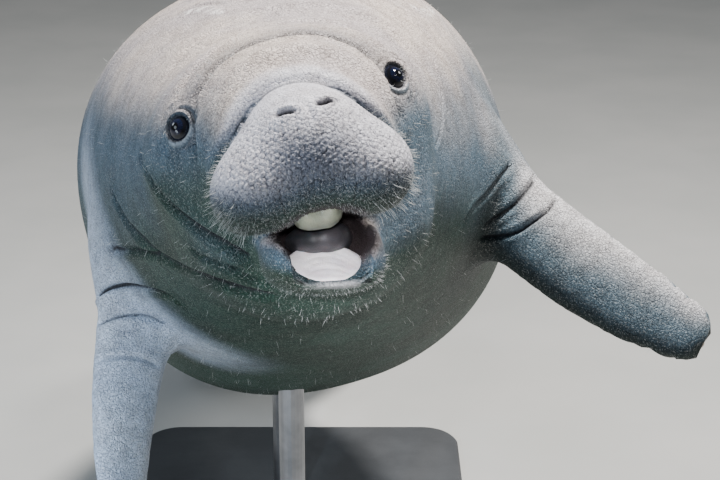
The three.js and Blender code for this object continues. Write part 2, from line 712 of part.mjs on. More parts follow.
function baseOutline() {
  const halfWide = BASE_WIDTH / 2 - BASE_BEVEL;
  const halfLong = BASE_LENGTH / 2 - BASE_BEVEL;
  const shape = new THREE.Shape();
  shape.moveTo(-halfWide + BASE_CORNER, -halfLong);
  shape.lineTo(halfWide - BASE_CORNER, -halfLong);
  shape.absarc(halfWide - BASE_CORNER, -halfLong + BASE_CORNER, BASE_CORNER, -Math.PI / 2, 0);
  shape.absarc(halfWide - BASE_CORNER, halfLong - BASE_CORNER, BASE_CORNER, 0, Math.PI / 2);
  shape.absarc(-halfWide + BASE_CORNER, halfLong - BASE_CORNER, BASE_CORNER, Math.PI / 2, Math.PI);
  shape.absarc(-halfWide + BASE_CORNER, -halfLong + BASE_CORNER, BASE_CORNER, Math.PI,
    Math.PI * 1.5);
  return shape;
}

const baseGeometry = new THREE.ExtrudeGeometry(baseOutline(), {
  depth: BASE_THICKNESS - 2 * BASE_BEVEL,
  bevelThickness: BASE_BEVEL,
  bevelSize: BASE_BEVEL,
  bevelSegments: 1,
  curveSegments: 6,
});
baseGeometry.translate(baseMiddle.x, baseMiddle.y, baseTop - BASE_THICKNESS + BASE_BEVEL);
const base = new THREE.Mesh(bare(baseGeometry), standFinish);
base.name = 'stand_base';
manatee.add(base);

// A turned piece standing on the base, cut off where it would enter the belly
function turnedMesh(name, place, outline) {
  const profile = outline.map(([radius, height]) => new THREE.Vector2(radius, height));
  const geometry = new THREE.LatheGeometry(profile, 20).rotateX(Math.PI / 2);
  geometry.translate(place.x, place.y, 0);
  const rod = largest(solid(geometry).subtract(grownBody)).getMesh();
  const cut = new THREE.BufferGeometry();
  cut.setAttribute('position', new THREE.BufferAttribute(new Float32Array(rod.vertProperties), 3));
  cut.setIndex(Array.from(rod.triVerts));
  const mesh = new THREE.Mesh(cut, standFinish);
  mesh.name = name;
  return mesh;
}

const standPieces = [{ name: 'front', place: frontRod }, { name: 'rear', place: rearRod }];
standPieces.forEach(({ name, place }) => {
  const foot = baseTop + GAP;
  const collar = foot + FLANGE_HEIGHT;
  manatee.add(turnedMesh(`stand_flange_${name}`, place, [
    [0, foot],
    [FLANGE_RADIUS, foot],
    [FLANGE_RADIUS, collar - FLANGE_BEVEL],
    [FLANGE_RADIUS - FLANGE_BEVEL, collar],
    [0, collar],
  ]));
  manatee.add(turnedMesh(`stand_rod_${name}`, place, [
    [0, collar + GAP],
    [ROD_RADIUS, collar + GAP],
    [ROD_RADIUS, place.z],
    [0, place.z],
  ]));
});

// The origin is the middle of the whole model's footprint, at the underside of the base
const whole = new THREE.Box3().setFromObject(manatee);
manatee.position.set(-(whole.min.x + whole.max.x) / 2, -(whole.min.y + whole.max.y) / 2,
  -whole.min.z);

export default manatee;
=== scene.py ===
"""A young manatee as a life-size museum model: skin, eyes, mouth, bristles, nails and stand.

The skin is one surface. It is described straight and level, in millimetres, with its origin
midway between the eyes (x to the animal's left, y towards the tail, z up), meshed, and then
posed and moved to the place of the solids, in metres.
"""
import math

import bmesh
import bpy
import numpy as np
from mathutils import Matrix, Vector, noise
from mathutils.bvhtree import BVHTree
from mathutils.kdtree import KDTree


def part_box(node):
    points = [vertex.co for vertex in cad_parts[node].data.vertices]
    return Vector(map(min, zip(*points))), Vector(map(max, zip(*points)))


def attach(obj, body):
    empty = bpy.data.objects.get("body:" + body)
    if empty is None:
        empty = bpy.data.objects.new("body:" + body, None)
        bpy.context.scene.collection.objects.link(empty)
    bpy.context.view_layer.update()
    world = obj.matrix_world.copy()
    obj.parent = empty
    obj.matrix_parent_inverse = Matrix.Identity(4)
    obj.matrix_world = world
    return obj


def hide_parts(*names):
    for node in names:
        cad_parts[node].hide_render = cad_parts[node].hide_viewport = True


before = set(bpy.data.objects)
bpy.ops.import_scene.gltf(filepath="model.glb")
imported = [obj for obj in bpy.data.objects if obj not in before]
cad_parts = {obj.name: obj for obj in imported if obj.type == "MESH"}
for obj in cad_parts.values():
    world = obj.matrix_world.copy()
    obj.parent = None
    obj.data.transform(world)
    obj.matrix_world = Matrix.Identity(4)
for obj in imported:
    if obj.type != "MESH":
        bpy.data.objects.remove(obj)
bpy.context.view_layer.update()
METRE = 0.001

# Sizes of the body, the same as the solids'
EYE_RADIUS = 12.5
EYE_HEIGHT_IN_HEAD = -2.0
EYE_SINK = 6.0
EYE_FORWARD = 0.6
PADDLE_CENTRE = 1800.0
PADDLE_HALF_WIDTH = 250.0
PADDLE_HALF_LENGTH = 262.0
PADDLE_HALF_THICKNESS = 27.0
TRUNK_SQUARENESS = 2.25

# Trunk sections: distance behind the eyes, half width, top and bottom above the eye line
TRUNK_SECTIONS = np.array([
    (-40, 56, 30, -112),
    (60, 108, 62, -158),
    (175, 150, 98, -190),
    (320, 198, 150, -226),
    (480, 236, 192, -262),
    (660, 266, 222, -290),
    (860, 277, 236, -299),
    (1100, 256, 214, -268),
    (1330, 202, 160, -202),
    (1560, 122, 76, -96),
    (1720, 112, 38, -50),
    (1900, 90, 16, -24),
], float)

# Attitude, the same as the solids'
CLIMB = math.radians(20.0)
BANK = math.radians(14.7)
HEAD_TURN = math.radians(6.4)
TRUNK_TURN = math.radians(0.9)
TAIL_TURN = math.radians(10.8)
TAIL_DROP = math.radians(11.6)
HEAD_TURN_FROM, HEAD_TURN_TO = 40.0, 260.0
TAIL_SWEEP_FROM, TAIL_SWEEP_TO = 300.0, 1700.0
MUZZLE_SKEW = 0.09
MUZZLE_ROLL = 0.06
JAW_ROLL = 0.15

# The photograph's frame and lens, and the place of the eyes' middle before the camera
IMAGE_WIDTH, IMAGE_HEIGHT = 720, 480
LENS_PIXELS = 1700.0
SENSOR_WIDTH = 36.0
EYES_RIGHT, EYES_UP, EYES_AWAY = -0.0623, 0.1194, 1.45


def smooth_step(low, high, value):
    t = np.clip((value - low) / (high - low), 0.0, 1.0)
    return t * t * (3.0 - 2.0 * t)


def blend(a, b, over):
    """The lower of two depths, rounded over a distance."""
    h = np.clip(0.5 + 0.5 * (b - a) / over, 0.0, 1.0)
    return b + (a - b) * h - over * h * (1.0 - h)


def carve(a, b, over):
    """A depth with the inside of another cut out of it, rounded over a distance."""
    return -blend(-a, b, over)


def bell(value, middle, width):
    """1 at the middle, falling away to nothing on both sides."""
    return np.exp(-((value - middle) / width)**2)


def rotate(a, b, angle):
    """Two coordinates, turned from the first towards the second."""
    return a * np.cos(angle) - b * np.sin(angle), a * np.sin(angle) + b * np.cos(angle)


def on_left(p):
    """Points, with those of the right side mirrored onto the left."""
    q = p.copy()
    q[:, 0] = np.abs(q[:, 0])
    return q


def ellipsoid(p, centre, radii):
    """Depth of points over an ellipsoid, about the true distance near its surface."""
    radii = np.array(radii, float)
    q = (p - np.array(centre, float)) / radii
    reach = np.sqrt((q * q).sum(1)) + 1e-9
    slope = np.sqrt(((q / radii) ** 2).sum(1)) + 1e-9 / radii.max()
    return reach * (reach - 1.0) / slope


def boxy(p, centre, radii, square):
    """Depth over an ellipsoid with fuller corners."""
    q = np.abs((p - np.array(centre, float)) / np.array(radii, float))
    return ((q**square).sum(1) ** (1 / square) - 1) * min(radii)


def section_curve(table, y):
    """Smooth values between the rows of a table whose first column is the place."""
    places = table[:, 0]
    last = len(places) - 1
    y = np.clip(y, places[0], places[last])
    i = np.clip(np.searchsorted(places, y) - 1, 0, last - 1)
    before = np.maximum(i - 1, 0)
    after = np.minimum(i + 2, last)
    span = places[i + 1] - places[i]
    t = ((y - places[i]) / span)[:, None]
    a, b = table[i, 1:], table[i + 1, 1:]
    slope_a = (b - table[before, 1:]) * (span / (places[i + 1] - places[before]))[:, None]
    slope_b = (table[after, 1:] - a) * (span / (places[after] - places[i]))[:, None]
    return ((2 * t**3 - 3 * t**2 + 1) * a + (t**3 - 2 * t**2 + t) * slope_a
            + (3 * t**2 - 2 * t**3) * b + (t**3 - t**2) * slope_b)


def trunk_depth(p):
    half, top, bottom = section_curve(TRUNK_SECTIONS, p[:, 1]).T
    tall = (top - bottom) / 2
    u = np.abs(p[:, 0]) / half
    v = np.abs(p[:, 2] - (top + bottom) / 2) / tall
    reach = (u**TRUNK_SQUARENESS + v**TRUNK_SQUARENESS) ** (1 / TRUNK_SQUARENESS)
    past = np.maximum(np.maximum(TRUNK_SECTIONS[0, 0] - p[:, 1], p[:, 1] - TRUNK_SECTIONS[-1, 0]), 0)
    return (reach - 1) * np.minimum(half, tall) + past


# Masses of the head as centre and radii, on the left side; the right side mirrors them
CRANIUM = (0, 70, -27), (126, 108, 90)
FACE = (0, -14, -40), (82, 76, 72)
SNOUT = (0, -80, -44), (50, 46, 46)
DISC = (0, -90, -62), (58, 47, 44)
LIP = (45, -88, -76), (37, 45, 36)
JAW = (0, -58, -136), (50, 60, 32)
THROAT = (0, 74, -112), (106, 112, 80)
CAVITY = (3, -79, -122), (38, 72, 22)
MOUTH_LINE = -112.0
MOUTH_LINE_RADIUS = 2.8
TONGUE = (0, -38, -122), (28, 40, 16)
UPPER_PAD = (0, -86, -98), (20, 28, 17)
LOWER_PAD = (1, -78, -147), (33, 40, 25)
SHOULDER_MASS = (172, 425, -90), (56, 80, 64)


# Roll of the face round the muzzle, and the crease between them
ROLL_HEIGHT, ROLL_AT, ROLL_WIDTH = 7.0, 13.0, 9.0
CREASE_RADIUS = 4.2
JAW_SQUARENESS = 2.6


def face_and_muzzle(q):
    """Depths over the face with its roll and over the muzzle, and the share of the upper part."""
    depth = ellipsoid(q, *CRANIUM)
    depth = blend(depth, ellipsoid(q, *THROAT), 40)
    depth = blend(depth, ellipsoid(q, *FACE), 34)
    depth = blend(depth, boxy(q, *JAW, JAW_SQUARENESS), 22)
    muzzle = blend(ellipsoid(q, *SNOUT), ellipsoid(q, *DISC), 22)
    muzzle = blend(muzzle, ellipsoid(q, *LIP), 20)
    upper = smooth_step(-88, -52, q[:, 2])
    depth = depth - ROLL_HEIGHT * upper * bell(muzzle, ROLL_AT, ROLL_WIDTH)
    return depth, muzzle, upper


def head_depth(q):
    depth, muzzle, upper = face_and_muzzle(q)
    crease = np.hypot(depth, muzzle) - CREASE_RADIUS * (0.35 + 0.65 * upper)
    return carve(blend(depth, muzzle, 3), crease, 2.5)


def paddle_depth(p):
    across = np.abs(p[:, 0]) / PADDLE_HALF_WIDTH
    along = np.abs(p[:, 1] - PADDLE_CENTRE) / PADDLE_HALF_LENGTH
    plan = (across**2.2 + along**2.2) ** (1 / 2.2)
    half = PADDLE_HALF_THICKNESS * (0.22 + 0.78 * np.sqrt(np.clip(1 - plan * plan, 0, 1)))
    over = (np.abs(p[:, 2] + 5) - half) * 0.94
    out = (plan - 1) * PADDLE_HALF_WIDTH
    return -blend(-over, -out, 10)


# Flipper sections: distance from the shoulder point, half width and half thickness
FLIPPER_LENGTH = 310.0
FLIPPER_TIP = 48.0
SLIM_FROM, SLIM_TO = 0.0, 150.0
FLIPPER_SECTIONS = np.array([
    (-70, 50, 34), (0, 50, 33), (70, 47, 27), (150, 46, 21), (215, 42, 17), (270, 34, 13),
], float)
# Side, root, aim, facing of the palm, bow across and palmward, twist towards the tip, and by
# how much of its width the blade is slimmer
FLIPPERS = {
    "left": (1, (196, 420, -112), (0.56, -0.44, -0.703), (0, -1, 0), 10, 14, 0, 0),
    "right": (-1, (184, 420, -112), (0.255, -0.475, -0.842), (-0.5, -0.85, 0), -18, 10, -30, 0.12),
}


def unit(v):
    v = np.array(v, float)
    return v / np.linalg.norm(v)


def flipper_frame(name):
    """Side, root and the directions along, across and palmward of a flipper."""
    side, root, aim, facing = FLIPPERS[name][:4]
    along = unit(aim)
    facing = np.array(facing, float)
    palm = unit(facing - along * facing.dot(along))
    return side, np.array(root, float), along, np.cross(along, palm), palm


def flipper_bend(name, at):
    """Bow across and palmward at a place along a flipper, and its twist there."""
    bow_across, bow_palm, twist = FLIPPERS[name][4:7]
    bow = np.sin(np.clip(at / FLIPPER_LENGTH, 0, 1) * math.pi)
    return bow_across * bow, bow_palm * bow, math.radians(twist) * at / FLIPPER_LENGTH


def flipper_local(p, name):
    """Points in a flipper's own frame: along, across and palmward of its bowed middle."""
    side, root, along, across_way, palm_way = flipper_frame(name)
    q = p * (side, 1, 1) - root
    at = q @ along
    bow_across, bow_palm, twist = flipper_bend(name, at)
    palm, across = rotate(q @ palm_way - bow_palm, q @ across_way - bow_across, twist)
    return at, across, palm


def flipper_place(name, at, across, palm):
    """The straight body's point at a place in a flipper's own frame."""
    side, root, along, across_way, palm_way = flipper_frame(name)
    bow_across, bow_palm, twist = flipper_bend(name, at)
    a, b = rotate(across, palm, twist)
    p = root + np.outer(at, along) + np.outer(a + bow_across, across_way) + np.outer(b + bow_palm, palm_way)
    return p * (side, 1, 1)


def flipper_section(at):
    places = FLIPPER_SECTIONS[:, 0]
    i = np.clip(np.searchsorted(places, at) - 1, 0, len(places) - 2)
    t = np.clip((at - places[i]) / (places[i + 1] - places[i]), 0, 1)
    ease = (0.5 * t + 0.5 * t * t * (3 - 2 * t))[:, None]
    return (FLIPPER_SECTIONS[i, 1:] * (1 - ease) + FLIPPER_SECTIONS[i + 1, 1:] * ease).T


def flipper_depth(p, name):
    at, across, palm = flipper_local(p, name)
    half, thick = flipper_section(at)
    half = half * (1 - FLIPPERS[name][7] * smooth_step(SLIM_FROM, SLIM_TO, at))
    past = np.maximum(at - (FLIPPER_LENGTH - FLIPPER_TIP), 0) / FLIPPER_TIP
    short = np.maximum(FLIPPER_SECTIONS[0, 0] - at, 0) / FLIPPER_TIP
    reach = np.sqrt((across / half) ** 2 + (palm / thick) ** 2 + past**2 + short**2)
    return (reach - 1) * thick * 1.15


def skin_gradient(p, depth, step=0.5):
    out = np.empty_like(p)
    for k in range(3):
        move = np.zeros(3)
        move[k] = step
        out[:, k] = (depth(p + move) - depth(p - move)) / (2 * step)
    return out


def body_depth(p):
    """The body without eyes and mouth."""
    q = on_left(p)
    depth = trunk_depth(p)
    near = (p[:, 1] > 260) & (p[:, 1] < 620)
    depth[near] = blend(depth[near], ellipsoid(q[near], *SHOULDER_MASS), 50)
    near = p[:, 1] < 400
    depth[near] = blend(depth[near], head_depth(q[near]), 36)
    near = p[:, 1] > 1200
    depth[near] = blend(depth[near], paddle_depth(p[near]), 60)
    for name, (side, *_) in FLIPPERS.items():
        near = (p[:, 1] > 60) & (p[:, 1] < 620) & (p[:, 0] * side > 60) & (p[:, 2] < 60)
        depth[near] = blend(depth[near], flipper_depth(p[near], name), 34)
    return depth


def find_eye():
    """Place of the skin beside the eye line, its outward direction and the ball's centre."""
    low, high = 40.0, 160.0
    for _ in range(30):
        middle = (low + high) / 2
        inside = body_depth(np.array([(middle, 0.0, EYE_HEIGHT_IN_HEAD)]))[0] < 0
        low, high = (middle, high) if inside else (low, middle)
    place = np.array((low, 0.0, EYE_HEIGHT_IN_HEAD))
    out = unit(skin_gradient(place[None], body_depth, 1.0)[0])
    out = unit(out + np.array((0.0, -EYE_FORWARD, 0.0)))
    return place, out, place - out * EYE_SINK


EYE_PLACE, EYE_OUT, EYE_CENTRE = find_eye()
EYE_UP = unit(np.array((0.0, 0.0, 1.0)) - EYE_OUT * EYE_OUT[2])
EYE_BACK = np.cross(EYE_UP, EYE_OUT)
LID_TILT = math.radians(15)
LID_AT, LID_WIDTH, LID_THICK = 13.6, 2.4, 2.4
LID_LINE_AT, LID_LINE_WIDTH, LID_LINE_DEEP = 17.4, 1.2, 1.2
LID_ROLL_AT, LID_ROLL_WIDTH, LID_ROLL_HIGH = 20.5, 2.4, 1.0
LID_REACH = 30
UNDER_BALL = 0.6


def eye_local(q):
    """Points about an eye: towards the tail, up and outwards, turned by the lids' tilt."""
    r = q - EYE_PLACE
    return *rotate(r @ EYE_BACK, r @ EYE_UP, LID_TILT), r @ EYE_OUT


def with_lids(p):
    """Points of the face round the eyes, moved in and out to lids that fit the balls."""
    side = np.where(p[:, 0] < 0, -1.0, 1.0)
    q = on_left(p)
    back, up, out = eye_local(q)
    across = np.hypot(back, up)
    near = (across < LID_REACH) & (np.abs(out) < LID_REACH + 10)
    upper = smooth_step(-5, 8, up)
    plane = out * smooth_step(14, 27, across)
    lid = LID_THICK * (1 + 0.4 * upper) * bell(across, LID_AT, LID_WIDTH)
    line = LID_LINE_DEEP * bell(across, LID_LINE_AT, LID_LINE_WIDTH)
    roll = LID_ROLL_HIGH * upper * bell(across, LID_ROLL_AT, LID_ROLL_WIDTH)
    ball = np.sqrt(np.maximum(EYE_RADIUS**2 - across**2, 0)) - EYE_SINK - UNDER_BALL
    wanted = np.maximum(plane + lid - line + roll, ball)
    q[near] += np.outer((wanted - out)[near], EYE_OUT)
    q[:, 0] *= side
    return q


LIP_RIM = 5.0
LIP_HEIGHT = 1.0
TRAY_DEPTH = 3.0
PAD_PLAN, PAD_PLAN_CENTRE = (31.0, 42.0), -57.0
LOWER_PAD_TOP = np.array((0, -100, -158.5)), unit((0, -0.574, 0.819))
PAD_HOLLOW = 0.002
PAD_SQUARENESS = 2.3
PAD_RIDGE_HEIGHT, PAD_RIDGES = 0.2, 0.9
MOUTH_MIDDLE, MOUTH_HALF_WIDTH = 3, 31


def above_pad(p):
    """Height of points over the lower pad's top, which slopes down to the front."""
    place, out = LOWER_PAD_TOP
    return (p - place) @ out + PAD_HOLLOW * p[:, 0]**2


def inside_lip(p):
    """Depth over the room inside the lower lip, round in front."""
    front = np.minimum(p[:, 1] - PAD_PLAN_CENTRE, 0) / PAD_PLAN[1]
    plan = np.hypot((p[:, 0] - 1) / PAD_PLAN[0], front)
    return np.maximum(boxy(p, *JAW, JAW_SQUARENESS) + LIP_RIM, (plan - 1) * PAD_PLAN[0])


def lower_pad_depth(p):
    """A plate inside the lower lip's rim, with faint ridges across its top."""
    depth = boxy(p, *LOWER_PAD, PAD_SQUARENESS)
    depth = -blend(-depth, -inside_lip(p), 3)
    ridges = PAD_RIDGE_HEIGHT * np.sin(p[:, 1] * PAD_RIDGES + 0.02 * p[:, 0]**2)
    return -blend(-depth, -(above_pad(p) + ridges), 4)


def tray_depth(p):
    """The room that the lower pad lies in."""
    inside = np.maximum(inside_lip(p), boxy(p, *LOWER_PAD, PAD_SQUARENESS) - 1)
    return -blend(-inside, above_pad(p) + TRAY_DEPTH, 2)


def open_mouth_depth(p):
    """The part of the jaw cut away over the lower lip and pad."""
    inside = np.maximum(np.abs(p[:, 0] - MOUTH_MIDDLE) - MOUTH_HALF_WIDTH, p[:, 2] - MOUTH_LINE)
    return -blend(-inside, above_pad(p) - LIP_HEIGHT, 6)


def rough_skin_depth(p):
    """The skin without the fine shape of the lower lip."""
    depth = body_depth(p)
    near = (p[:, 1] < 60) & (p[:, 2] < 60)
    q = p[near]
    part = depth[near]
    line = np.hypot(part, q[:, 2] - MOUTH_LINE) - MOUTH_LINE_RADIUS * smooth_step(-30, -60, q[:, 1])
    part = carve(part, line, 3)
    depth[near] = carve(part, ellipsoid(p[near], *CAVITY), 5)
    return depth


def skin_depth(p):
    depth = rough_skin_depth(p)
    near = (p[:, 1] < -20) & (p[:, 2] < -90)
    part = carve(depth[near], open_mouth_depth(p[near]), 3)
    depth[near] = carve(part, tray_depth(p[near]), 2)
    return depth


# Pose
LINE_STEP, LINE_START, LINE_END = 10.0, -200.0, 2200.0


def turned(v, y):
    """Directions of the straight body, turned as the body is at each place along it."""
    neck = smooth_step(HEAD_TURN_FROM, HEAD_TURN_TO, y)
    sweep = smooth_step(TAIL_SWEEP_FROM, TAIL_SWEEP_TO, y)
    turn = HEAD_TURN + (TRUNK_TURN - HEAD_TURN) * neck + TAIL_TURN * sweep
    drop = TAIL_DROP * sweep
    x, back, up = v.T
    up, back = rotate(up, back, drop)
    x, back = rotate(x, back, turn)
    x, up = rotate(x, up, BANK)
    up, back = rotate(up, back, CLIMB)
    return np.stack([x, back, up], 1)


def make_centre_line():
    places = np.arange(LINE_START, LINE_END + 1, LINE_STEP)
    steps = turned(np.tile((0.0, LINE_STEP, 0.0), (len(places) - 1, 1)), places[:-1] + LINE_STEP / 2)
    points = np.vstack([np.zeros(3), np.cumsum(steps, 0)])
    return places, points - points[int(-LINE_START / LINE_STEP)]


LINE_PLACES, LINE_POINTS = make_centre_line()


def pose_about_eyes(p):
    """Posed points, still in millimetres, about the middle of the eye line."""
    front = smooth_step(20, -60, p[:, 1])
    skew = MUZZLE_SKEW * front * np.minimum(p[:, 2] + 19, 0)
    roll = (MUZZLE_ROLL + JAW_ROLL * smooth_step(-104, -132, p[:, 2])) * front
    offset = np.stack([p[:, 0] + skew, np.zeros(len(p)), p[:, 2] - roll * p[:, 0]], 1)
    centre = np.stack([np.interp(p[:, 1], LINE_PLACES, LINE_POINTS[:, k]) for k in range(3)], 1)
    return turned(offset, p[:, 1]) + centre


def find_origin():
    """Where the middle of the eye line lies in the frame, from the solids of the two eyes."""
    boxes = [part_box("eye_left"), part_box("eye_right")]
    found = sum(np.array((low + high) / 2) for low, high in boxes) / 2
    balls = np.array([EYE_CENTRE, EYE_CENTRE * (-1, 1, 1)])
    return found - pose_about_eyes(balls).mean(0) * METRE


ORIGIN = find_origin()


def pose(p):
    return pose_about_eyes(p) * METRE + ORIGIN


# Camera
RIGHT = np.array((1.0, 0.0, 0.0))
UP = np.array((0.0, math.sin(CLIMB), math.cos(CLIMB)))
TOWARD = np.array((0.0, -math.cos(CLIMB), math.sin(CLIMB)))
CAMERA_PLACE = ORIGIN - RIGHT * EYES_RIGHT - UP * EYES_UP + TOWARD * EYES_AWAY


def add_object(name, data):
    made = bpy.data.objects.new(name, data)
    bpy.context.collection.objects.link(made)
    return made


def make_camera():
    data = bpy.data.cameras.new("photograph_view")
    data.sensor_width = SENSOR_WIDTH
    data.lens = LENS_PIXELS / IMAGE_WIDTH * SENSOR_WIDTH
    data.clip_start = 0.02
    camera = add_object("photograph_view", data)
    turn = Matrix((RIGHT, UP, TOWARD)).transposed().to_4x4()
    camera.matrix_world = Matrix.Translation(Vector(CAMERA_PLACE)) @ turn
    bpy.context.scene.camera = camera


def view_ray(pixel):
    """Direction from the camera through a pixel of the photograph."""
    across = (pixel[0] - IMAGE_WIDTH / 2) / LENS_PIXELS
    down = (pixel[1] - IMAGE_HEIGHT / 2) / LENS_PIXELS
    return Vector(RIGHT * across - UP * down - TOWARD).normalized()


make_camera()


# Skin mesh
def surface_net(depth, low, high, cell):
    """Closed quad mesh of the surface where depth is 0, one point in each crossed cell."""
    axes = [np.arange(low[k], high[k] + cell, cell) for k in range(3)]
    shape = [len(a) for a in axes]
    values = np.empty(shape, np.float32)
    grid_y, grid_z = np.meshgrid(axes[1], axes[2], indexing="ij")
    for i, x in enumerate(axes[0]):
        p = np.stack([np.full(grid_y.size, x), grid_y.ravel(), grid_z.ravel()], 1)
        values[i] = depth(p).reshape(grid_y.shape)
    inside = values < 0
    cells = tuple(n - 1 for n in shape)
    corners = [(a, b, c) for a in (0, 1) for b in (0, 1) for c in (0, 1)]

    def corner(array, at):
        return array[at[0]:at[0] + cells[0], at[1]:at[1] + cells[1], at[2]:at[2] + cells[2]]

    count = sum(corner(inside, c).astype(np.int8) for c in corners)
    crossed = (count > 0) & (count < 8)
    number = np.full(cells, -1, np.int64)
    number[crossed] = np.arange(crossed.sum())
    total = np.zeros((crossed.sum(), 3))
    hits = np.zeros(crossed.sum())
    for a in corners:
        for k in range(3):
            if a[k]:
                continue
            b = tuple(1 if j == k else a[j] for j in range(3))
            va, vb = corner(values, a)[crossed], corner(values, b)[crossed]
            cut = (va < 0) != (vb < 0)
            t = np.where(cut, va / np.where(cut, va - vb, 1), 0)
            place = np.tile(np.array(a, float), (len(va), 1))
            place[:, k] = t
            total[cut] += place[cut]
            hits[cut] += 1
    base = np.argwhere(crossed) * cell + np.array(low)
    points = base + total / hits[:, None] * cell
    quads = []
    for k in range(3):
        i, j = [a for a in range(3) if a != k]
        step = [0, 0, 0]
        step[k] = 1
        a = inside[tuple(slice(0, n - s) for n, s in zip(shape, step))]
        b = inside[tuple(slice(s, n) for n, s in zip(shape, step))]
        for sign, edge in ((1, a & ~b), (-1, ~a & b)):
            at = np.argwhere(edge)
            at = at[(at[:, i] > 0) & (at[:, j] > 0) & (at[:, i] < cells[i]) & (at[:, j] < cells[j])]
            ring = []
            for di, dj in ((0, 0), (1, 0), (1, 1), (0, 1)):
                c = at.copy()
                c[:, i] -= di
                c[:, j] -= dj
                ring.append(number[c[:, 0], c[:, 1], c[:, 2]])
            quad = np.stack(ring, 1)
            flip = (k == 1) != (sign < 0)
            quads.append(quad[:, ::-1] if flip else quad)
    return points, np.vstack(quads)


LONGEST_MOVE = 6.0


def settle(p, depth, rounds=3):
    """Points moved onto the surface where depth is 0."""
    for _ in range(rounds):
        slope = skin_gradient(p, depth)
        size = np.maximum((slope * slope).sum(1), 0.05)
        move = slope * (depth(p) / size)[:, None]
        far = np.linalg.norm(move, axis=1)
        move *= np.minimum(1, LONGEST_MOVE / np.maximum(far, 1e-9))[:, None]
        p = p - move
    return p


def relax(points, edges, depth, rounds):
    """Evens out the mesh: each point moves half way to its neighbours and back to the surface."""
    for _ in range(rounds):
        total = np.zeros_like(points)
        count = np.zeros(len(points))
        for a, b in ((0, 1), (1, 0)):
            np.add.at(total, edges[:, a], points[edges[:, b]])
            np.add.at(count, edges[:, a], 1)
        points = points + (total / count[:, None] - points) * 0.5
        points = settle(points, depth, 1)
    return points


def mesh_arrays(mesh):
    points = np.empty(len(mesh.vertices) * 3)
    mesh.vertices.foreach_get("co", points)
    edges = np.empty(len(mesh.edges) * 2, np.int64)
    mesh.edges.foreach_get("vertices", edges)
    return points.reshape(-1, 3), edges.reshape(-1, 2)


def set_points(mesh, points):
    mesh.vertices.foreach_set("co", points.ravel())
    mesh.update()


def refine(mesh, wanted, depth):
    """Splits every edge that lies in the wanted part, and settles the new points."""
    points, edges = mesh_arrays(mesh)
    chosen = wanted(points[edges].mean(1))
    build = bmesh.new()
    build.from_mesh(mesh)
    build.edges.ensure_lookup_table()
    picked = [build.edges[i] for i in np.nonzero(chosen)[0]]
    before = len(build.verts)
    bmesh.ops.subdivide_edges(build, edges=picked, cuts=1, use_grid_fill=True)
    build.to_mesh(mesh)
    build.free()
    points, _ = mesh_arrays(mesh)
    points[before:] = settle(points[before:], depth, 2)
    set_points(mesh, points)


BASE_CELL = 15.5
SKIN_LOW, SKIN_HIGH = (-330, -155, -470), (470, 2085, 260)


def near_eyes(p, reach):
    return np.linalg.norm(on_left(p) - EYE_PLACE, axis=1) < reach


def on_flipper(p):
    return (np.abs(p[:, 0]) > 175) & (p[:, 1] > 60) & (p[:, 1] < 520) & (p[:, 2] < -90)


def on_disc(p):
    """The pebbled front of the muzzle, and the edges of the lids."""
    front = (p[:, 1] < -104) & (p[:, 2] > -104) & (p[:, 2] < -4)
    return front | near_eyes(p, 17)


def make_skin_mesh():
    depth = rough_skin_depth
    points, quads = surface_net(depth, SKIN_LOW, SKIN_HIGH, BASE_CELL)
    mesh = bpy.data.meshes.new("manatee_skin")
    mesh.from_pydata(points.tolist(), [], quads.tolist())
    mesh.update()
    points, edges = mesh_arrays(mesh)
    set_points(mesh, relax(settle(points, depth), edges, depth, 8))
    refine(mesh, lambda p: (p[:, 1] < 330) | on_flipper(p), depth)
    refine(mesh, lambda p: (p[:, 1] < 10) | near_eyes(p, 44), depth)
    refine(mesh, lambda p: ((p[:, 1] < -66) & (p[:, 2] > -166)) | near_eyes(p, 24), depth)
    refine(mesh, on_disc, depth)
    refine(mesh, lambda p: near_eyes(p, 15.5) & ~near_eyes(p, 8.5), depth)
    points, edges = mesh_arrays(mesh)
    points = settle(relax(points, edges, depth, 1), skin_depth, 4)
    set_points(mesh, relax(points, edges, skin_depth, 2))
    return mesh


skin_mesh = make_skin_mesh()


# Folds, each traced along points of the photograph's frame and laid on the skin
PATH_STEP = 1.5


def smooth_path(way):
    """Points a step apart on a smooth curve through way-points."""
    way = np.array(way, float)
    ends = np.vstack([2 * way[0] - way[1], way, 2 * way[-1] - way[-2]])
    out = []
    for i in range(1, len(ends) - 2):
        a, b, c, d = ends[i - 1:i + 3]
        count = max(2, int(np.linalg.norm(c - b) / PATH_STEP))
        t = np.arange(count)[:, None] / count
        out.append(0.5 * (2 * b + (c - a) * t + (2 * a - 5 * b + 4 * c - d) * t**2
                          + (3 * b - a - 3 * c + d) * t**3))
    return np.vstack(out + [way[-1:]])


def skin_normals(mesh):
    normals = np.empty(len(mesh.vertices) * 3, np.float32)
    mesh.vertex_normals.foreach_get("vector", normals)
    return normals.reshape(-1, 3).astype(float)


def posed_tree(mesh):
    points, _ = mesh_arrays(mesh)
    return BVHTree.FromPolygons(pose(points).tolist(), [list(p.vertices) for p in mesh.polygons])


def lay_on_skin(tree, mesh, way):
    """Places and normals of the skin under a path of the photograph's frame, and where
    those places lie on the straight body."""
    places, normals, straight_places = [], [], []
    for pixel in smooth_path(way):
        place, normal, face, _ = tree.ray_cast(Vector(CAMERA_PLACE), view_ray(pixel))
        if place:
            places.append(place)
            normals.append(normal)
            straight_places.append(mesh.polygons[face].center)
    return np.array(places), np.array(normals), np.array(straight_places)


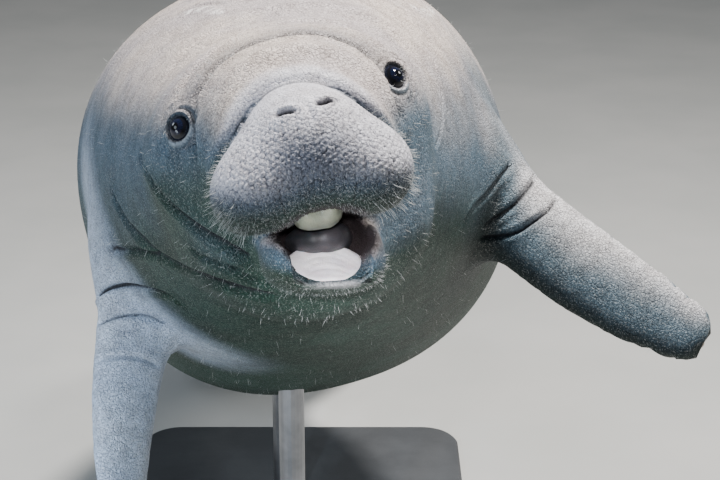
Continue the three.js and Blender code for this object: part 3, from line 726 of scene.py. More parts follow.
# Name: way-points, then depth, width, roll to the right of the path and roll to its left in mm.
# A depth below 0 raises the skin.
FOLDS = {
    "brow_roll": ([(204, 160), (207, 136), (214, 108), (228, 84), (247, 66), (270, 54), (302, 48),
                   (334, 50), (358, 61), (378, 77), (392, 96), (404, 122), (410, 146)], -3, 13, 0, 0),
    "brow": ([(195, 160), (193, 135), (193, 113), (195, 99), (203, 85), (215, 68), (234, 54),
              (253, 45), (280, 37), (310, 34), (333, 38), (356, 47), (371, 59), (381, 69),
              (388, 83), (394, 100), (402, 122)], 8, 4.5, 1.5, 1.0),
    "brow_twin": ([(212, 80), (203, 96), (199, 107), (198, 122)], 1.6, 2.0, 0.8, 0.6),
    "forehead_low": ([(178, 96), (192, 72), (215, 50), (245, 34), (290, 23), (335, 25), (372, 42),
                      (398, 62)], 2.2, 6.0, 1.6, 2.0),
    "forehead_high": ([(165, 80), (186, 52), (220, 28), (270, 10), (330, 8), (380, 25), (412, 55)],
                      1.8, 8.0, 1.6, 1.6),
    "ear_line": ([(434, 62), (441, 90), (443, 110), (440, 134), (434, 150)], 1.6, 2.2, 0.8, 0.8),
    "neck_first": ([(142, 152), (143, 160), (152, 179), (164, 197), (178, 211), (195, 225),
                    (213, 237), (233, 248), (250, 258)], 7, 4.5, 3.0, 2.5),
    "neck_second": ([(112, 190), (120, 207), (132, 227), (149, 243), (164, 256), (182, 266),
                     (198, 274), (219, 282), (246, 290), (275, 296)], 6, 4.5, 3.0, 2.0),
    "throat_upper": ([(190, 249), (207, 259), (225, 265), (246, 270)], 3.2, 2.6, 1.5, 1.2),
    "throat_lower": ([(222, 266), (236, 271), (252, 278), (270, 284)], 3.0, 2.6, 1.5, 1.2),
    "armpit_right": ([(93, 256), (97, 251), (106, 248), (121, 250), (140, 251), (160, 255)],
                     7, 4.0, 3.0, 2.0),
    "flipper_right": ([(95, 300), (99, 294), (109, 288), (126, 286), (143, 288), (160, 292),
                       (173, 297), (184, 307)], 6, 3.5, 3.0, 1.5),
    "wrist_right": ([(94, 326), (112, 318), (130, 315), (150, 318), (170, 330)], 4.0, 3.0, 1.8, 1.4),
    "blade_right": ([(93, 364), (108, 358), (126, 356), (144, 359), (158, 366)], 2.0, 3.0, 1.0, 1.0),
    "nostril_right": ([(277, 115.5), (283, 113), (288, 111.5), (294, 111)], 8, 2.5, 0.6, 1.8),
    "nostril_left": ([(317, 104), (323, 102.5), (328, 100.5), (335, 100)], 8, 2.5, 0.6, 1.8),
    "flap_right": ([(270, 126), (277, 122), (286, 120), (296, 121)], -1.6, 7, 0, 0),
    "flap_left": ([(314, 114), (323, 111), (333, 109), (342, 110)], -1.4, 7, 0, 0),
    "muzzle_furrow": ([(308, 104), (309.5, 112), (312, 122)], 1.6, 2.4, 0.5, 0.5),
    "scar_lump_right": ([(174, 22), (190, 13), (207, 10), (224, 14)], -3.0, 7, 0, 0),
    "scar_lump_left": ([(408, 4), (424, 13), (440, 12), (456, 24)], -3.0, 7, 0, 0),
    "scar_furrow": ([(176, 16), (190, 8), (206, 4), (224, 4)], 2.5, 2.4, 0.8, 0.8),
    "scar_line": ([(186, 48), (197, 46), (209, 46)], 1.8, 1.6, 0.6, 0.6),
    "scar_notch": ([(398, 1), (404, 7), (408, 17)], 2.5, 2.2, 0.8, 0.8),
    "flipper_left_a": ([(511, 160), (510, 166), (500, 178), (486, 195), (473, 208), (463, 222)],
                       4, 3.2, 1.6, 1.6),
    "flipper_left_b": ([(535, 176), (534, 180), (526, 191), (516, 203), (501, 215), (485, 226)],
                       5, 3.2, 2.0, 1.8),
    "flipper_left_c": ([(556, 198), (546, 211), (533, 221), (518, 231), (501, 236), (482, 238)],
                       5, 3.0, 2.0, 1.8),
}


AT_ONCE = 4000


def lay_fold(points, normals, line, line_normals, sizes):
    """Height of one fold over every point, in metres, and how deep it lies in the groove."""
    depth, width, roll_right, roll_left = [size * METRE for size in sizes]
    height = np.zeros(len(points))
    groove = np.zeros(len(points))
    reach = 6 * width
    low, high = line.min(0) - reach, line.max(0) + reach
    near = np.nonzero(((points > low) & (points < high)).all(1))[0]
    steps = np.linalg.norm(np.diff(line, axis=0), axis=1)
    along = np.concatenate([[0], np.cumsum(steps)])
    tangent = np.gradient(line, axis=0)
    tangent /= np.maximum(np.linalg.norm(tangent, axis=1), 1e-9)[:, None]
    for start in range(0, len(near), AT_ONCE):
        part = near[start:start + AT_ONCE]
        delta = points[part][:, None] - line[None]
        far = (delta**2).sum(2)
        nearest = far.argmin(1)
        rows = np.arange(len(part))
        d = np.sqrt(far[rows, nearest])
        side = np.cross(tangent[nearest], line_normals[nearest])
        side = (side * delta[rows, nearest]).sum(1)
        to_end = np.minimum(along[nearest], along[-1] - along[nearest])
        fade = smooth_step(0, 3 * width, to_end + width)
        facing = smooth_step(0.0, 0.4, (normals[part] * line_normals[nearest]).sum(1))
        roll = np.where(side > 0, roll_right, roll_left)
        u = (d / (1.9 * width))**2
        height[part] = fade * facing * (roll * u * np.exp(1 - u) - depth * bell(d, 0, width))
        groove[part] = fade * facing * bell(d, 0, 0.8 * width)
    return height, groove


def tree_of(places):
    tree = KDTree(len(places))
    for i, place in enumerate(places):
        tree.insert(place, i)
    tree.balance()
    return tree


def beyond_fold(points, line, line_normals, reach):
    """Share of the painted shade band on the left of a fold's path, where the skin beyond the brow fold
    lies in shade.
    """
    nearest = tree_of(line)
    tangent = np.gradient(line, axis=0)
    low, high = line.min(0) - 3 * reach, line.max(0) + 3 * reach
    share = np.zeros(len(points))
    for i in np.nonzero(((points > low) & (points < high)).all(1))[0]:
        place, at, away = nearest.find(points[i])
        side = np.cross(tangent[at], line_normals[at]) @ (points[i] - line[at])
        ends = smooth_step(0, 20, min(at, len(line) - 1 - at))
        share[i] = ends * (side < 0) * math.exp(-(away / reach)**2)
    return share


def raise_skin(mesh, height):
    points, _ = mesh_arrays(mesh)
    set_points(mesh, points + skin_normals(mesh) * height[:, None])


def set_mark(mesh, name, values):
    mark = mesh.attributes.new(name, "FLOAT", "POINT")
    mark.data.foreach_set("value", np.asarray(values, np.float32))


def near_places(places, reach):
    """A test for points of the straight body within reach of any of the places."""
    near = tree_of(places)
    return lambda p: np.array([near.find(q)[2] < reach for q in p])


EAR_SIDE, EAR_Y, EAR_Z = 130.0, 72.0, -14.0
EAR_RADIUS, EAR_DEEP = 2.4, 3.5
EARS = settle(np.array([(EAR_SIDE, EAR_Y, EAR_Z), (-EAR_SIDE, EAR_Y, EAR_Z)]), body_depth)
SHARP_FOLD = 7.0
NOSTRIL_SHADE = 0.4
FULL_GROOVE = 6
BROW_BAND = 0.032


def refine_details(mesh, laid):
    """Finer faces along the narrow folds behind the muzzle, in the nostrils and at the ears."""
    sharp = np.vstack([laid[name][2] for name, (_, _, width, *_) in FOLDS.items() if width < SHARP_FOLD])
    nostrils = np.vstack([laid["nostril_right"][2], laid["nostril_left"][2]])
    for places, reach in ((sharp[sharp[:, 1] > 0], 13), (sharp[sharp[:, 1] > 20], 6),
                          (nostrils, 6), (EARS, 14), (EARS, 8)):
        refine(mesh, near_places(places, reach), skin_depth)


def lay_folds(points, normals, laid):
    """Rise of all the folds over every point in metres, their grooves, which are painted dark as shade, and
    the pale scars.
    """
    rise, grooves, scars = np.zeros((3, len(points)))
    for name, (_, *sizes) in FOLDS.items():
        line, line_normals, _ = laid[name]
        height, groove = lay_fold(points, normals, line, line_normals, sizes)
        rise += height
        if name.startswith("nostril"):
            groove = groove**NOSTRIL_SHADE
        grooves = np.maximum(grooves, groove * np.clip(sizes[0] / FULL_GROOVE, 0, 1))
        if name.startswith("scar_lump"):
            scars = np.maximum(scars, groove)
    return rise, grooves, scars


def eye_wrinkles(back, up, out):
    """Height in metres of the fine spokes and ripples round the eyes."""
    across = np.hypot(back, up)
    turn = np.arctan2(up, back)
    spokes = np.sin(15 * turn + 0.12 * across)
    ripples = np.sin(across * 1.05 + 1.5 * np.sin(2 * turn))
    around = smooth_step(18, 22, across) * (1 - smooth_step(26, 40, across)) * (np.abs(out) < 25)
    return around * (0.45 * spokes + 0.35 * ripples) * METRE


straight_tree = posed_tree(skin_mesh)
laid_folds = {name: lay_on_skin(straight_tree, skin_mesh, way) for name, (way, *_) in FOLDS.items()}
refine_details(skin_mesh, laid_folds)
straight, skin_edges = mesh_arrays(skin_mesh)
straight = with_lids(relax(straight, skin_edges, skin_depth, 2))
set_points(skin_mesh, pose(straight))

posed, _ = mesh_arrays(skin_mesh)
normals = skin_normals(skin_mesh)
rise, grooves, scars = lay_folds(posed, normals, laid_folds)
# The band of painted shade beyond the brow fold.
brow_line, brow_normals, _ = laid_folds["brow"]
set_mark(skin_mesh, "beyond", beyond_fold(posed, brow_line, brow_normals, BROW_BAND))
mirrored = on_left(straight)
from_eye = np.linalg.norm(mirrored - EYE_PLACE, axis=1)
behind_eye, above_eye, off_eye = eye_local(mirrored)
across_eye = np.hypot(behind_eye, above_eye)
by_eye = np.abs(off_eye) < 20
ear_pit = bell(np.linalg.norm(straight[:, None] - EARS, axis=2).min(1), 0, EAR_RADIUS)
lid_line = bell(across_eye, LID_LINE_AT, LID_LINE_WIDTH) * by_eye
rise *= smooth_step(17, 30, from_eye)
rise += eye_wrinkles(behind_eye, above_eye, off_eye) - EAR_DEEP * METRE * ear_pit
grooves *= smooth_step(17, 26, from_eye)
# The ear pits and the lid lines join the grooves, which are painted dark as shade.
grooves = np.maximum(np.maximum(grooves, ear_pit), 0.45 * lid_line)


# Pebbled skin of the muzzle
PEBBLE = 3.9
PEBBLE_HEIGHT = 1.0
PEBBLE_TURN = math.radians(28)
ROW_STEP = math.sqrt(0.75)
DOME_RADIUS, SHAKE = 0.56, 0.34
PEBBLE_CENTRE = np.array((0, -40, -62))
PEBBLE_REACH = 82.0


def muzzle_place(p):
    """Distance across and up the front of the muzzle, from its middle."""
    q = p - PEBBLE_CENTRE
    return (np.arctan2(q[:, 0], -q[:, 1]) * PEBBLE_REACH,
            np.arctan2(q[:, 2], np.hypot(q[:, 0], q[:, 1])) * PEBBLE_REACH)


def pebbles(p, size, turn, seed):
    """Domes on a shaken lattice of triangles: height 0 to 1 over every point of the muzzle."""
    across, up = muzzle_place(p)
    a, b = rotate(np.abs(across), up, turn)
    a, b = a / size, b / (size * ROW_STEP)
    row = np.floor(b)
    best = np.full(len(p), 9.0)
    for dr in (-1, 0, 1, 2):
        r = row + dr
        shift = 0.5 * np.mod(r, 2)
        column = np.round(a - shift)
        for dc in (-1, 0, 1):
            k = column + dc
            shake = np.sin(r * 127.1 + k * 311.7 + seed) * 43758.5453
            shake_a = (shake - np.floor(shake) - 0.5) * SHAKE
            shake_b = (shake * 1.7 - np.floor(shake * 1.7) - 0.5) * SHAKE
            d = np.hypot(a - (k + shift + shake_a), (b - (r + shake_b)) * ROW_STEP)
            best = np.minimum(best, d)
    return 1 - np.clip(best / DOME_RADIUS, 0, 1.2)**2


def unit_rows(v):
    return v / np.maximum(np.linalg.norm(v, axis=1), 1e-6)[:, None]


def lip_rim_mark(p):
    """The pale edge of the lower lip, in front of the pad."""
    rim = np.abs(boxy(p, *JAW, JAW_SQUARENESS) + 1.5)
    front = smooth_step(-70, -84, p[:, 1]) * (1 - smooth_step(17, 28, np.abs(p[:, 0] - 2)))
    high = smooth_step(-9, -2, above_pad(p)) * smooth_step(-146, -152, p[:, 2])
    return (1 - smooth_step(0.8, 2.8, rim)) * front * high


def crease_mark(p):
    """The bottom of the crease between the muzzle and the roll of the face, where shade is painted."""
    face_part, muzzle_part, upper = face_and_muzzle(p)
    level = 1 - smooth_step(0.4, 2.6, np.abs(face_part - muzzle_part))
    return upper * level * (1 - smooth_step(6, 9, np.hypot(face_part, muzzle_part)))


muzzle_mask = smooth_step(-58, -78, straight[:, 1]) * smooth_step(-134, -112, straight[:, 2])
disc_mask = muzzle_mask * smooth_step(-8, -30, straight[:, 2])
domes = pebbles(straight, PEBBLE, PEBBLE_TURN, 3.0)
rise += disc_mask * PEBBLE_HEIGHT * METRE * domes
raise_skin(skin_mesh, rise)
straight_out = unit_rows(skin_gradient(straight, body_depth, 1.0))
over_muzzle, up_muzzle = muzzle_place(straight)
SKIN_MARKS = {
    # Grooves of folds, nostrils, ear pits and lid lines, painted dark as shade.
    "groove": grooves,
    "muzzle": muzzle_mask,
    "scar": scars,
    # Gaps between the muzzle's pebbles, painted dark as shade.
    "gap": disc_mask * (1 - smooth_step(-0.2, 0.5, domes)),
    # How much the skin faces up; the hide is painted lighter above and darker below by it.
    "sky": 0.7 * turned(straight_out, straight[:, 1])[:, 2] + 0.3 * normals[:, 2],
    "eye_rim": (1 - smooth_step(11.0, 12.6, across_eye)) * by_eye,
    "eye_bag": smooth_step(-3, -9, above_eye) * bell(across_eye, 14.3, 1.9) * by_eye,
    # The crease round the muzzle, painted dark as shade.
    "crease": crease_mark(mirrored),
    # The inside of the mouth, painted near black as shade.
    "mouth": 1 - smooth_step(1.0, 9, ellipsoid(straight, *CAVITY)),
    "lip_rim": lip_rim_mark(straight),
    "flipper_left": 1 - smooth_step(0, 110, flipper_depth(straight, "left")),
    "flipper_right": 1 - smooth_step(0, 110, flipper_depth(straight, "right")),
    "dusk": muzzle_mask * bell(over_muzzle, 0, 36) * bell(up_muzzle, 4, 20),
}
for mark_name, mark_values in SKIN_MARKS.items():
    set_mark(skin_mesh, mark_name, mark_values)


def add_smooth(name, mesh):
    mesh.polygons.foreach_set("use_smooth", np.ones(len(mesh.polygons), bool))
    return add_object(name, mesh)


skin = add_smooth("manatee_skin", skin_mesh)
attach(skin, "root")
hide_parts("head", "muzzle", "lower_jaw", "neck", "torso_front", "torso_rear",
            "tail_stock", "tail_paddle", "flipper_left", "flipper_right")


# Materials
class Value:
    """A number or colour in a material; an expression on it adds the nodes that work it out."""

    def __init__(self, material, socket):
        self.material = material
        self.socket = socket

    def math(self, kind, *others):
        return self.material.node("ShaderNodeMath", {"operation": kind}, [self, *others])

    def __add__(self, other):
        return self.math("ADD", other)

    def __sub__(self, other):
        return self.math("SUBTRACT", other)

    def __rsub__(self, other):
        return self.material.node("ShaderNodeMath", {"operation": "SUBTRACT"}, [other, self])

    def __mul__(self, other):
        return self.math("MULTIPLY", other)

    def step(self, low, high):
        settings = {"interpolation_type": "SMOOTHSTEP", "clamp": True}
        return self.material.node("ShaderNodeMapRange", settings, [self, low, high, 0.0, 1.0])

    __radd__ = __add__
    __rmul__ = __mul__


class Material:
    """A material with one Principled shader, whose nodes are added by name."""

    def __init__(self, name, **shader):
        self.data = bpy.data.materials.new(name)
        self.data.use_nodes = True
        self.tree = self.data.node_tree
        self.shader = self.tree.nodes["Principled BSDF"]
        for socket, value in shader.items():
            self.shader.inputs[socket.replace("_", " ")].default_value = value
        self.place = self.node("ShaderNodeTexCoord", {}, {}, "Object")

    def node(self, kind, settings, inputs, output=0):
        node = self.tree.nodes.new(kind)
        for name, value in settings.items():
            setattr(node, name, value)
        pairs = inputs.items() if isinstance(inputs, dict) else enumerate(inputs)
        for key, value in pairs:
            if isinstance(value, Value):
                self.tree.links.new(value.socket, node.inputs[key])
            else:
                node.inputs[key].default_value = value
        return Value(self, node.outputs[output])

    def mark(self, name):
        return self.node("ShaderNodeAttribute", {"attribute_name": name}, {}, "Fac")

    def stretched(self, scale):
        return self.node("ShaderNodeMapping", {}, {"Vector": self.place, "Scale": scale})

    def noise(self, scale, detail=3.0, rough=0.55, place=None):
        inputs = {"Vector": place or self.place, "Scale": scale, "Detail": detail, "Roughness": rough}
        return self.node("ShaderNodeTexNoise", {}, inputs)

    def shaken(self, scale, amount):
        """The place, moved about by noise, so that a pattern on it isn't straight."""
        inputs = {"Vector": self.place, "Scale": scale, "Detail": 2.0}
        drift = self.node("ShaderNodeTexNoise", {}, inputs, "Color")
        moved = self.node("ShaderNodeVectorMath", {"operation": "SUBTRACT"}, [drift, (0.5, 0.5, 0.5)])
        settings = {"operation": "MULTIPLY_ADD"}
        return self.node("ShaderNodeVectorMath", settings, [moved, (amount,) * 3, self.place])

    def cells(self, scale, feature="F1", place=None):
        inputs = {"Vector": place or self.place, "Scale": scale}
        return self.node("ShaderNodeTexVoronoi", {"feature": feature}, inputs, "Distance")

    def mix(self, factor, a, b, kind="MIX"):
        settings = {"data_type": "RGBA", "blend_type": kind}
        return self.node("ShaderNodeMix", settings, {0: factor, 6: a, 7: b}, 2)

    def shade(self, factor, base, tint):
        """A base colour, multiplied by a tint where the factor is high."""
        return self.mix(factor, base, self.mix(1.0, base, tint, "MULTIPLY"))

    def bump(self, height, distance, strength):
        inputs = {"Height": height, "Distance": distance, "Strength": strength}
        return self.node("ShaderNodeBump", {}, inputs)

    def finish(self, **sockets):
        for socket, value in sockets.items():
            self.tree.links.new(value.socket, self.shader.inputs[socket.replace("_", " ")])
        return self.data


def colour(red, green, blue):
    """A colour as a screen shows it, 0 to 255, made linear."""
    parts = [(c / 255 / 12.92) if c < 10 else ((c / 255 + 0.055) / 1.055)**2.4 for c in (red, green, blue)]
    return (*parts, 1.0)


def painted_light_tones(m, patches, muzzle):
    """Painted light and shade on the body, the muzzle and the flippers: warm where the skin faces up as if
    lit from above, blue-grey on the sides and teal shade below, with a darker middle on the muzzle's front;
    the animal's right flipper is painted pale blue as if lit by the sky.
    """
    sky = m.mark("sky")
    drift = (patches - 0.5) * 0.3
    above = sky + drift
    below = drift - sky
    # Painted light: the warm tone where the skin faces up, blue-grey on the sides, teal painted shade where
    # it faces down.
    warm = m.mix(patches.step(0.35, 0.65), colour(190, 180, 180), colour(210, 196, 186))
    cool = m.mix(patches.step(0.35, 0.65), colour(66, 92, 110), colour(84, 106, 124))
    teal = m.mix(patches.step(0.4, 0.6), colour(8, 44, 31), colour(18, 58, 46))
    base = m.mix(above.step(0.16, 0.74), cool, warm)
    base = m.mix(below.step(-0.2, 0.36), base, teal)
    # The muzzle's own painted light above and painted teal shade below.
    snout = m.mix(above.step(-0.15, 0.5), colour(68, 82, 98), colour(208, 207, 217))
    snout = m.mix(below.step(-0.05, 0.55), snout, colour(20, 46, 38))
    base = m.mix(muzzle * 0.9, base, snout)
    base = m.mix(m.mark("dusk") * 0.85, base, colour(68, 78, 98))
    # The animal's left flipper: painted light on its top, near black painted shade underneath.
    limb = m.mix(above.step(0.45, 0.9), colour(76, 104, 120), colour(206, 206, 210))
    limb = m.mix(below.step(-0.5, 0.0), limb, colour(5, 25, 26))
    base = m.mix(m.mark("flipper_left") * 0.85, base, limb)
    # The animal's right flipper is painted pale blue, as if lit by the sky.
    sky_lit_limb = m.mix(patches.step(0.35, 0.65), colour(186, 202, 226), colour(204, 218, 238))
    return m.mix(m.mark("flipper_right") * 0.85, base, sky_lit_limb)


def hide_marks_and_painted_shade(m, base, patches, mottle, speckle):
    """Painted shade beyond the brow fold, mottle and speckle, then the lip, the mouth's inside in painted
    shade, painted shade in the muzzle's gaps, scars, eye rims, painted shade in the crease and in the
    folds' grooves.
    """
    # Painted shade on the skin beyond the brow fold.
    base = m.shade(m.mark("beyond") * 0.6, base, colour(112, 124, 136))
    base = m.shade(mottle.step(0.42, 0.62) * 0.35, base, colour(160, 152, 148))
    base = m.shade(speckle.step(0.48, 0.62) * 0.6, base, colour(118, 120, 126))
    base = m.mix(speckle.step(0.44, 0.34) * 0.22, base, colour(236, 232, 228))
    base = m.mix(m.mark("lip_rim") * mottle.step(0.35, 0.6) * 0.5, base, colour(206, 204, 208))
    # Painted shade: the inside of the mouth is near black.
    gums_in_painted_shade = m.mix(patches.step(0.3, 0.7), colour(36, 30, 32), colour(60, 50, 52))
    base = m.mix(m.mark("mouth"), base, gums_in_painted_shade)
    # Painted shade in the gaps between the muzzle's pebbles.
    base = m.shade(m.mark("gap").step(0.15, 0.9) * 0.7, base, colour(84, 88, 106))
    scars = m.mark("scar").step(0.1, 0.6) * m.noise(95.0, 3.0).step(0.42, 0.56) * 0.8
    base = m.mix(scars, base, colour(232, 228, 226))
    base = m.mix(m.mark("eye_bag") * 0.5, base, colour(176, 190, 204))
    # Painted shade in the crease round the muzzle.
    base = m.mix(m.mark("crease") * 0.8, base, colour(58, 62, 70))
    base = m.mix(m.mark("eye_rim").step(0.1, 0.9) * 0.85, base, colour(52, 56, 66))
    # Painted shade: near black in the grooves of the folds, nostrils, ear pits and lid lines.
    return m.mix(m.mark("groove").step(0.2, 0.8) * 0.96, base, colour(26, 28, 34))


def hide_relief(m, speckle):
    plates = m.cells(230.0, "DISTANCE_TO_EDGE", m.shaken(90.0, 0.006)).step(0.0, 0.12)
    coarse = m.cells(85.0, "DISTANCE_TO_EDGE", m.shaken(40.0, 0.012)).step(0.0, 0.06)
    return plates * 0.5 + (1.0 - m.cells(620.0)) * 0.35 + coarse * 0.25 + speckle * 0.3


def skin_material():
    """Hide, its colour with painted light above and painted shade below and in its hollows, with less
    relief on the muzzle, whose pebbles are in the mesh.
    """
    m = Material("manatee_hide", Specular_IOR_Level=0.4)
    muzzle = m.mark("muzzle")
    patches = m.noise(7.0, 4.0, 0.6)
    mottle = m.noise(60.0, 5.0, 0.65)
    speckle = m.noise(620.0, 3.0, 0.6)
    base = hide_marks_and_painted_shade(m, painted_light_tones(m, patches, muzzle), patches, mottle, speckle)
    normal = m.bump(hide_relief(m, speckle) * (1.0 - muzzle * 0.55), 0.0019, 0.9)
    rough = 0.5 + mottle * 0.25 - muzzle * 0.08
    return m.finish(Base_Color=base, Roughness=rough, Normal=normal)


skin_mesh.materials.append(skin_material())


# Eyes
def posed_mesh(name, straight_points, faces, marks=None, weld=0.0):
    """A smooth closed piece, given on the straight body, put in its place; points that lie
    within the weld distance are joined."""
    mesh = bpy.data.meshes.new(name)
    mesh.from_pydata(pose(straight_points).tolist(), [], [list(f) for f in faces])
    mesh.update()
    build = bmesh.new()
    build.from_mesh(mesh)
    if weld:
        bmesh.ops.remove_doubles(build, verts=build.verts, dist=weld)
    bmesh.ops.recalc_face_normals(build, faces=build.faces)
    build.to_mesh(mesh)
    build.free()
    for mark, values in (marks or {}).items():
        set_mark(mesh, mark, values)
    return add_smooth(name, mesh)


def dress(piece, material, slot, *nodes):
    piece.data.materials.append(material)
    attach(piece, "root")
    if nodes:
        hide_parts(*nodes)


CORNEA_REACH = 0.62
CORNEA_RISE = 1.1


def make_eye(name, side, material):
    """Ball with a raised cornea; its marks give the angle from the middle and round it."""
    rings, spokes = 48, 64
    tilt = np.linspace(0, math.pi, rings)
    spin = np.arange(spokes) * 2 * math.pi / spokes
    t, a = [g.ravel() for g in np.meshgrid(tilt[1:-1], spin, indexing="ij")]
    t, a = np.append(t, [0, math.pi]), np.append(a, [0, 0])
    reach = EYE_RADIUS + CORNEA_RISE * (1 - smooth_step(0, CORNEA_REACH * 1.25, t))
    points = EYE_CENTRE + reach[:, None] * (np.outer(np.cos(t), EYE_OUT)
                                            + np.outer(np.sin(t) * np.cos(a), EYE_BACK)
                                            + np.outer(np.sin(t) * np.sin(a), EYE_UP))
    faces = []
    top, bottom = len(points) - 2, len(points) - 1
    for j in range(spokes):
        k = (j + 1) % spokes
        faces.append((top, j, k))
        for i in range(rings - 3):
            faces.append((i * spokes + j, (i + 1) * spokes + j, (i + 1) * spokes + k, i * spokes + k))
        faces.append((bottom, (rings - 3) * spokes + k, (rings - 3) * spokes + j))
    marks = {"angle": t, "spin_cos": np.cos(a), "spin_sin": np.sin(a)}
    dress(posed_mesh(name + "_ball", points * (side, 1, 1), faces, marks), material, "eye", name)


def eye_material():
    m = Material("wet_eye", Roughness=0.05, Specular_IOR_Level=0.25, Coat_Weight=0.3, Coat_Roughness=0.02)
    angle = m.mark("angle")
    around = m.node("ShaderNodeCombineXYZ", {}, [m.mark("spin_cos"), m.mark("spin_sin"), angle * 0.6])
    rays = m.noise(9.0, 4.0, 0.7, around)
    haze = m.noise(2.2, 3.0, 0.6, around)
    iris = m.mix(rays.step(0.35, 0.7), colour(6, 10, 24), colour(20, 30, 58))
    iris = m.mix(haze.step(0.45, 0.75) * 0.6, iris, colour(38, 26, 34))
    white = m.mix(rays.step(0.4, 0.7), colour(12, 16, 28), colour(30, 34, 50))
    tone = m.mix(angle.step(0.24, 0.30), colour(5, 6, 9), iris)
    tone = m.mix(angle.step(0.56, 0.66), tone, colour(14, 14, 20))
    tone = m.mix(angle.step(0.72, 0.95), tone, white)
    return m.finish(Base_Color=tone)


wet_eye = eye_material()
make_eye("eye_left", 1, wet_eye)
make_eye("eye_right", -1, wet_eye)


# Horny pads and tongue
UPPER_PAD_SQUARENESS = 2.9
UPPER_PAD_DENT = (0, -118, -102), (9, 8, 7)
KNOB_HEIGHT, KNOBS = 0.5, 130


def upper_pad_depth(p):
    depth = boxy(p, *UPPER_PAD, UPPER_PAD_SQUARENESS)
    return carve(depth, ellipsoid(p, *UPPER_PAD_DENT), 5)


def tongue_depth(p):
    depth = ellipsoid(p, *TONGUE)
    furrow = bell(p[:, 0], 0, 3.5) * 1.6 * smooth_step(-140, -128, p[:, 2])
    return depth + furrow


def make_soft(name, depth, sizes, cell, slot, material):
    centre, radii = [np.array(v, float) for v in sizes]
    points, quads = surface_net(depth, centre - radii - 6, centre + radii + 6, cell)
    piece = posed_mesh(name + "_flesh", settle(points, depth), quads.tolist())
    points, _ = mesh_arrays(piece.data)
    knobs = np.array([noise.noise(Vector(q) * KNOBS) for q in points]) * KNOB_HEIGHT * METRE
    raise_skin(piece.data, knobs)
    dress(piece, material, slot, name)


def flesh_material(name, dark, light, grain, gloss):
    m = Material(name, Subsurface_Weight=0.08, Subsurface_Scale=0.01)
    patches = m.noise(55.0, 4.0, 0.6)
    dots = m.cells(grain, "F1", m.shaken(120.0, 0.002))
    streaks = m.noise(1.0, 3.0, 0.6, m.stretched((60.0, 260.0, 260.0)))
    tone = m.mix(patches.step(0.3, 0.7), dark, light)
    tone = m.mix(streaks.step(0.55, 0.8) * 0.35, tone, dark)
    normal = m.bump((1.0 - dots) * 0.6 + streaks * 0.5, 0.0006, 0.6)
    return m.finish(Base_Color=tone, Roughness=gloss + patches * 0.2, Normal=normal)


horn = flesh_material("horny_pad", colour(212, 204, 212), colour(240, 236, 240), 900.0, 0.34)
horn_top = flesh_material("upper_horny_pad", colour(92, 96, 84), colour(132, 136, 118), 900.0, 0.42)
# The tongue's colours are near black with painted shade of the inside of the mouth.
tongue_flesh = flesh_material("tongue_flesh", colour(30, 32, 36), colour(60, 57, 62), 1300.0, 0.4)
make_soft("lower_pad", lower_pad_depth, LOWER_PAD, 2.0, "mouth_pad", horn)
make_soft("upper_pad", upper_pad_depth, UPPER_PAD, 2.0, "mouth_pad", horn_top)
make_soft("tongue", tongue_depth, TONGUE, 2.2, "tongue", tongue_flesh)


# Nails
NAIL_HALF, NAIL_WIDE, NAIL_THICK = 11.0, 8.0, 4.5
NAIL_SEATS = ((276, -14), (288, 2), (278, 18))


def make_nails(name):
    points, faces = [], []
    rings, spokes = 14, 20
    for at, across in NAIL_SEATS:
        _, thick = flipper_section(np.array([float(at)]))
        base = len(points)
        for i in range(rings + 1):
            t = math.pi * i / rings
            for j in range(spokes):
                a = 2 * math.pi * j / spokes
                along = -math.cos(t) * NAIL_HALF
                wide = math.sin(t) ** 0.8 * math.cos(a) * NAIL_WIDE
                tall = math.sin(t) ** 0.8 * math.sin(a) * NAIL_THICK
                ridge = 0.25 * math.cos(9 * a) * math.sin(t)
                arch = (wide / NAIL_WIDE)**2 * 2.0
                points.append((at + along, across + wide, -thick[0] * 0.72 - tall - ridge + arch))
        for i in range(rings):
            for j in range(spokes):
                k = (j + 1) % spokes
                faces.append([base + i * spokes + j, base + (i + 1) * spokes + j,
                              base + (i + 1) * spokes + k, base + i * spokes + k])
    at, across, palm = np.array(points).T
    piece = posed_mesh("nails_" + name, flipper_place(name, at, across, palm), faces, weld=1e-6)
    dress(piece, nail_horn, "nail")


def nail_material():
    m = Material("nail_horn", Roughness=0.4, Coat_Weight=0.2)
    bands = m.noise(1.0, 3.0, 0.6, m.stretched((400.0, 400.0, 120.0)))
    tone = m.mix(bands.step(0.3, 0.7), colour(118, 104, 92), colour(176, 164, 148))
    return m.finish(Base_Color=tone, Normal=m.bump(bands, 0.0004, 0.5))


nail_horn = nail_material()
make_nails("left")
make_nails("right")


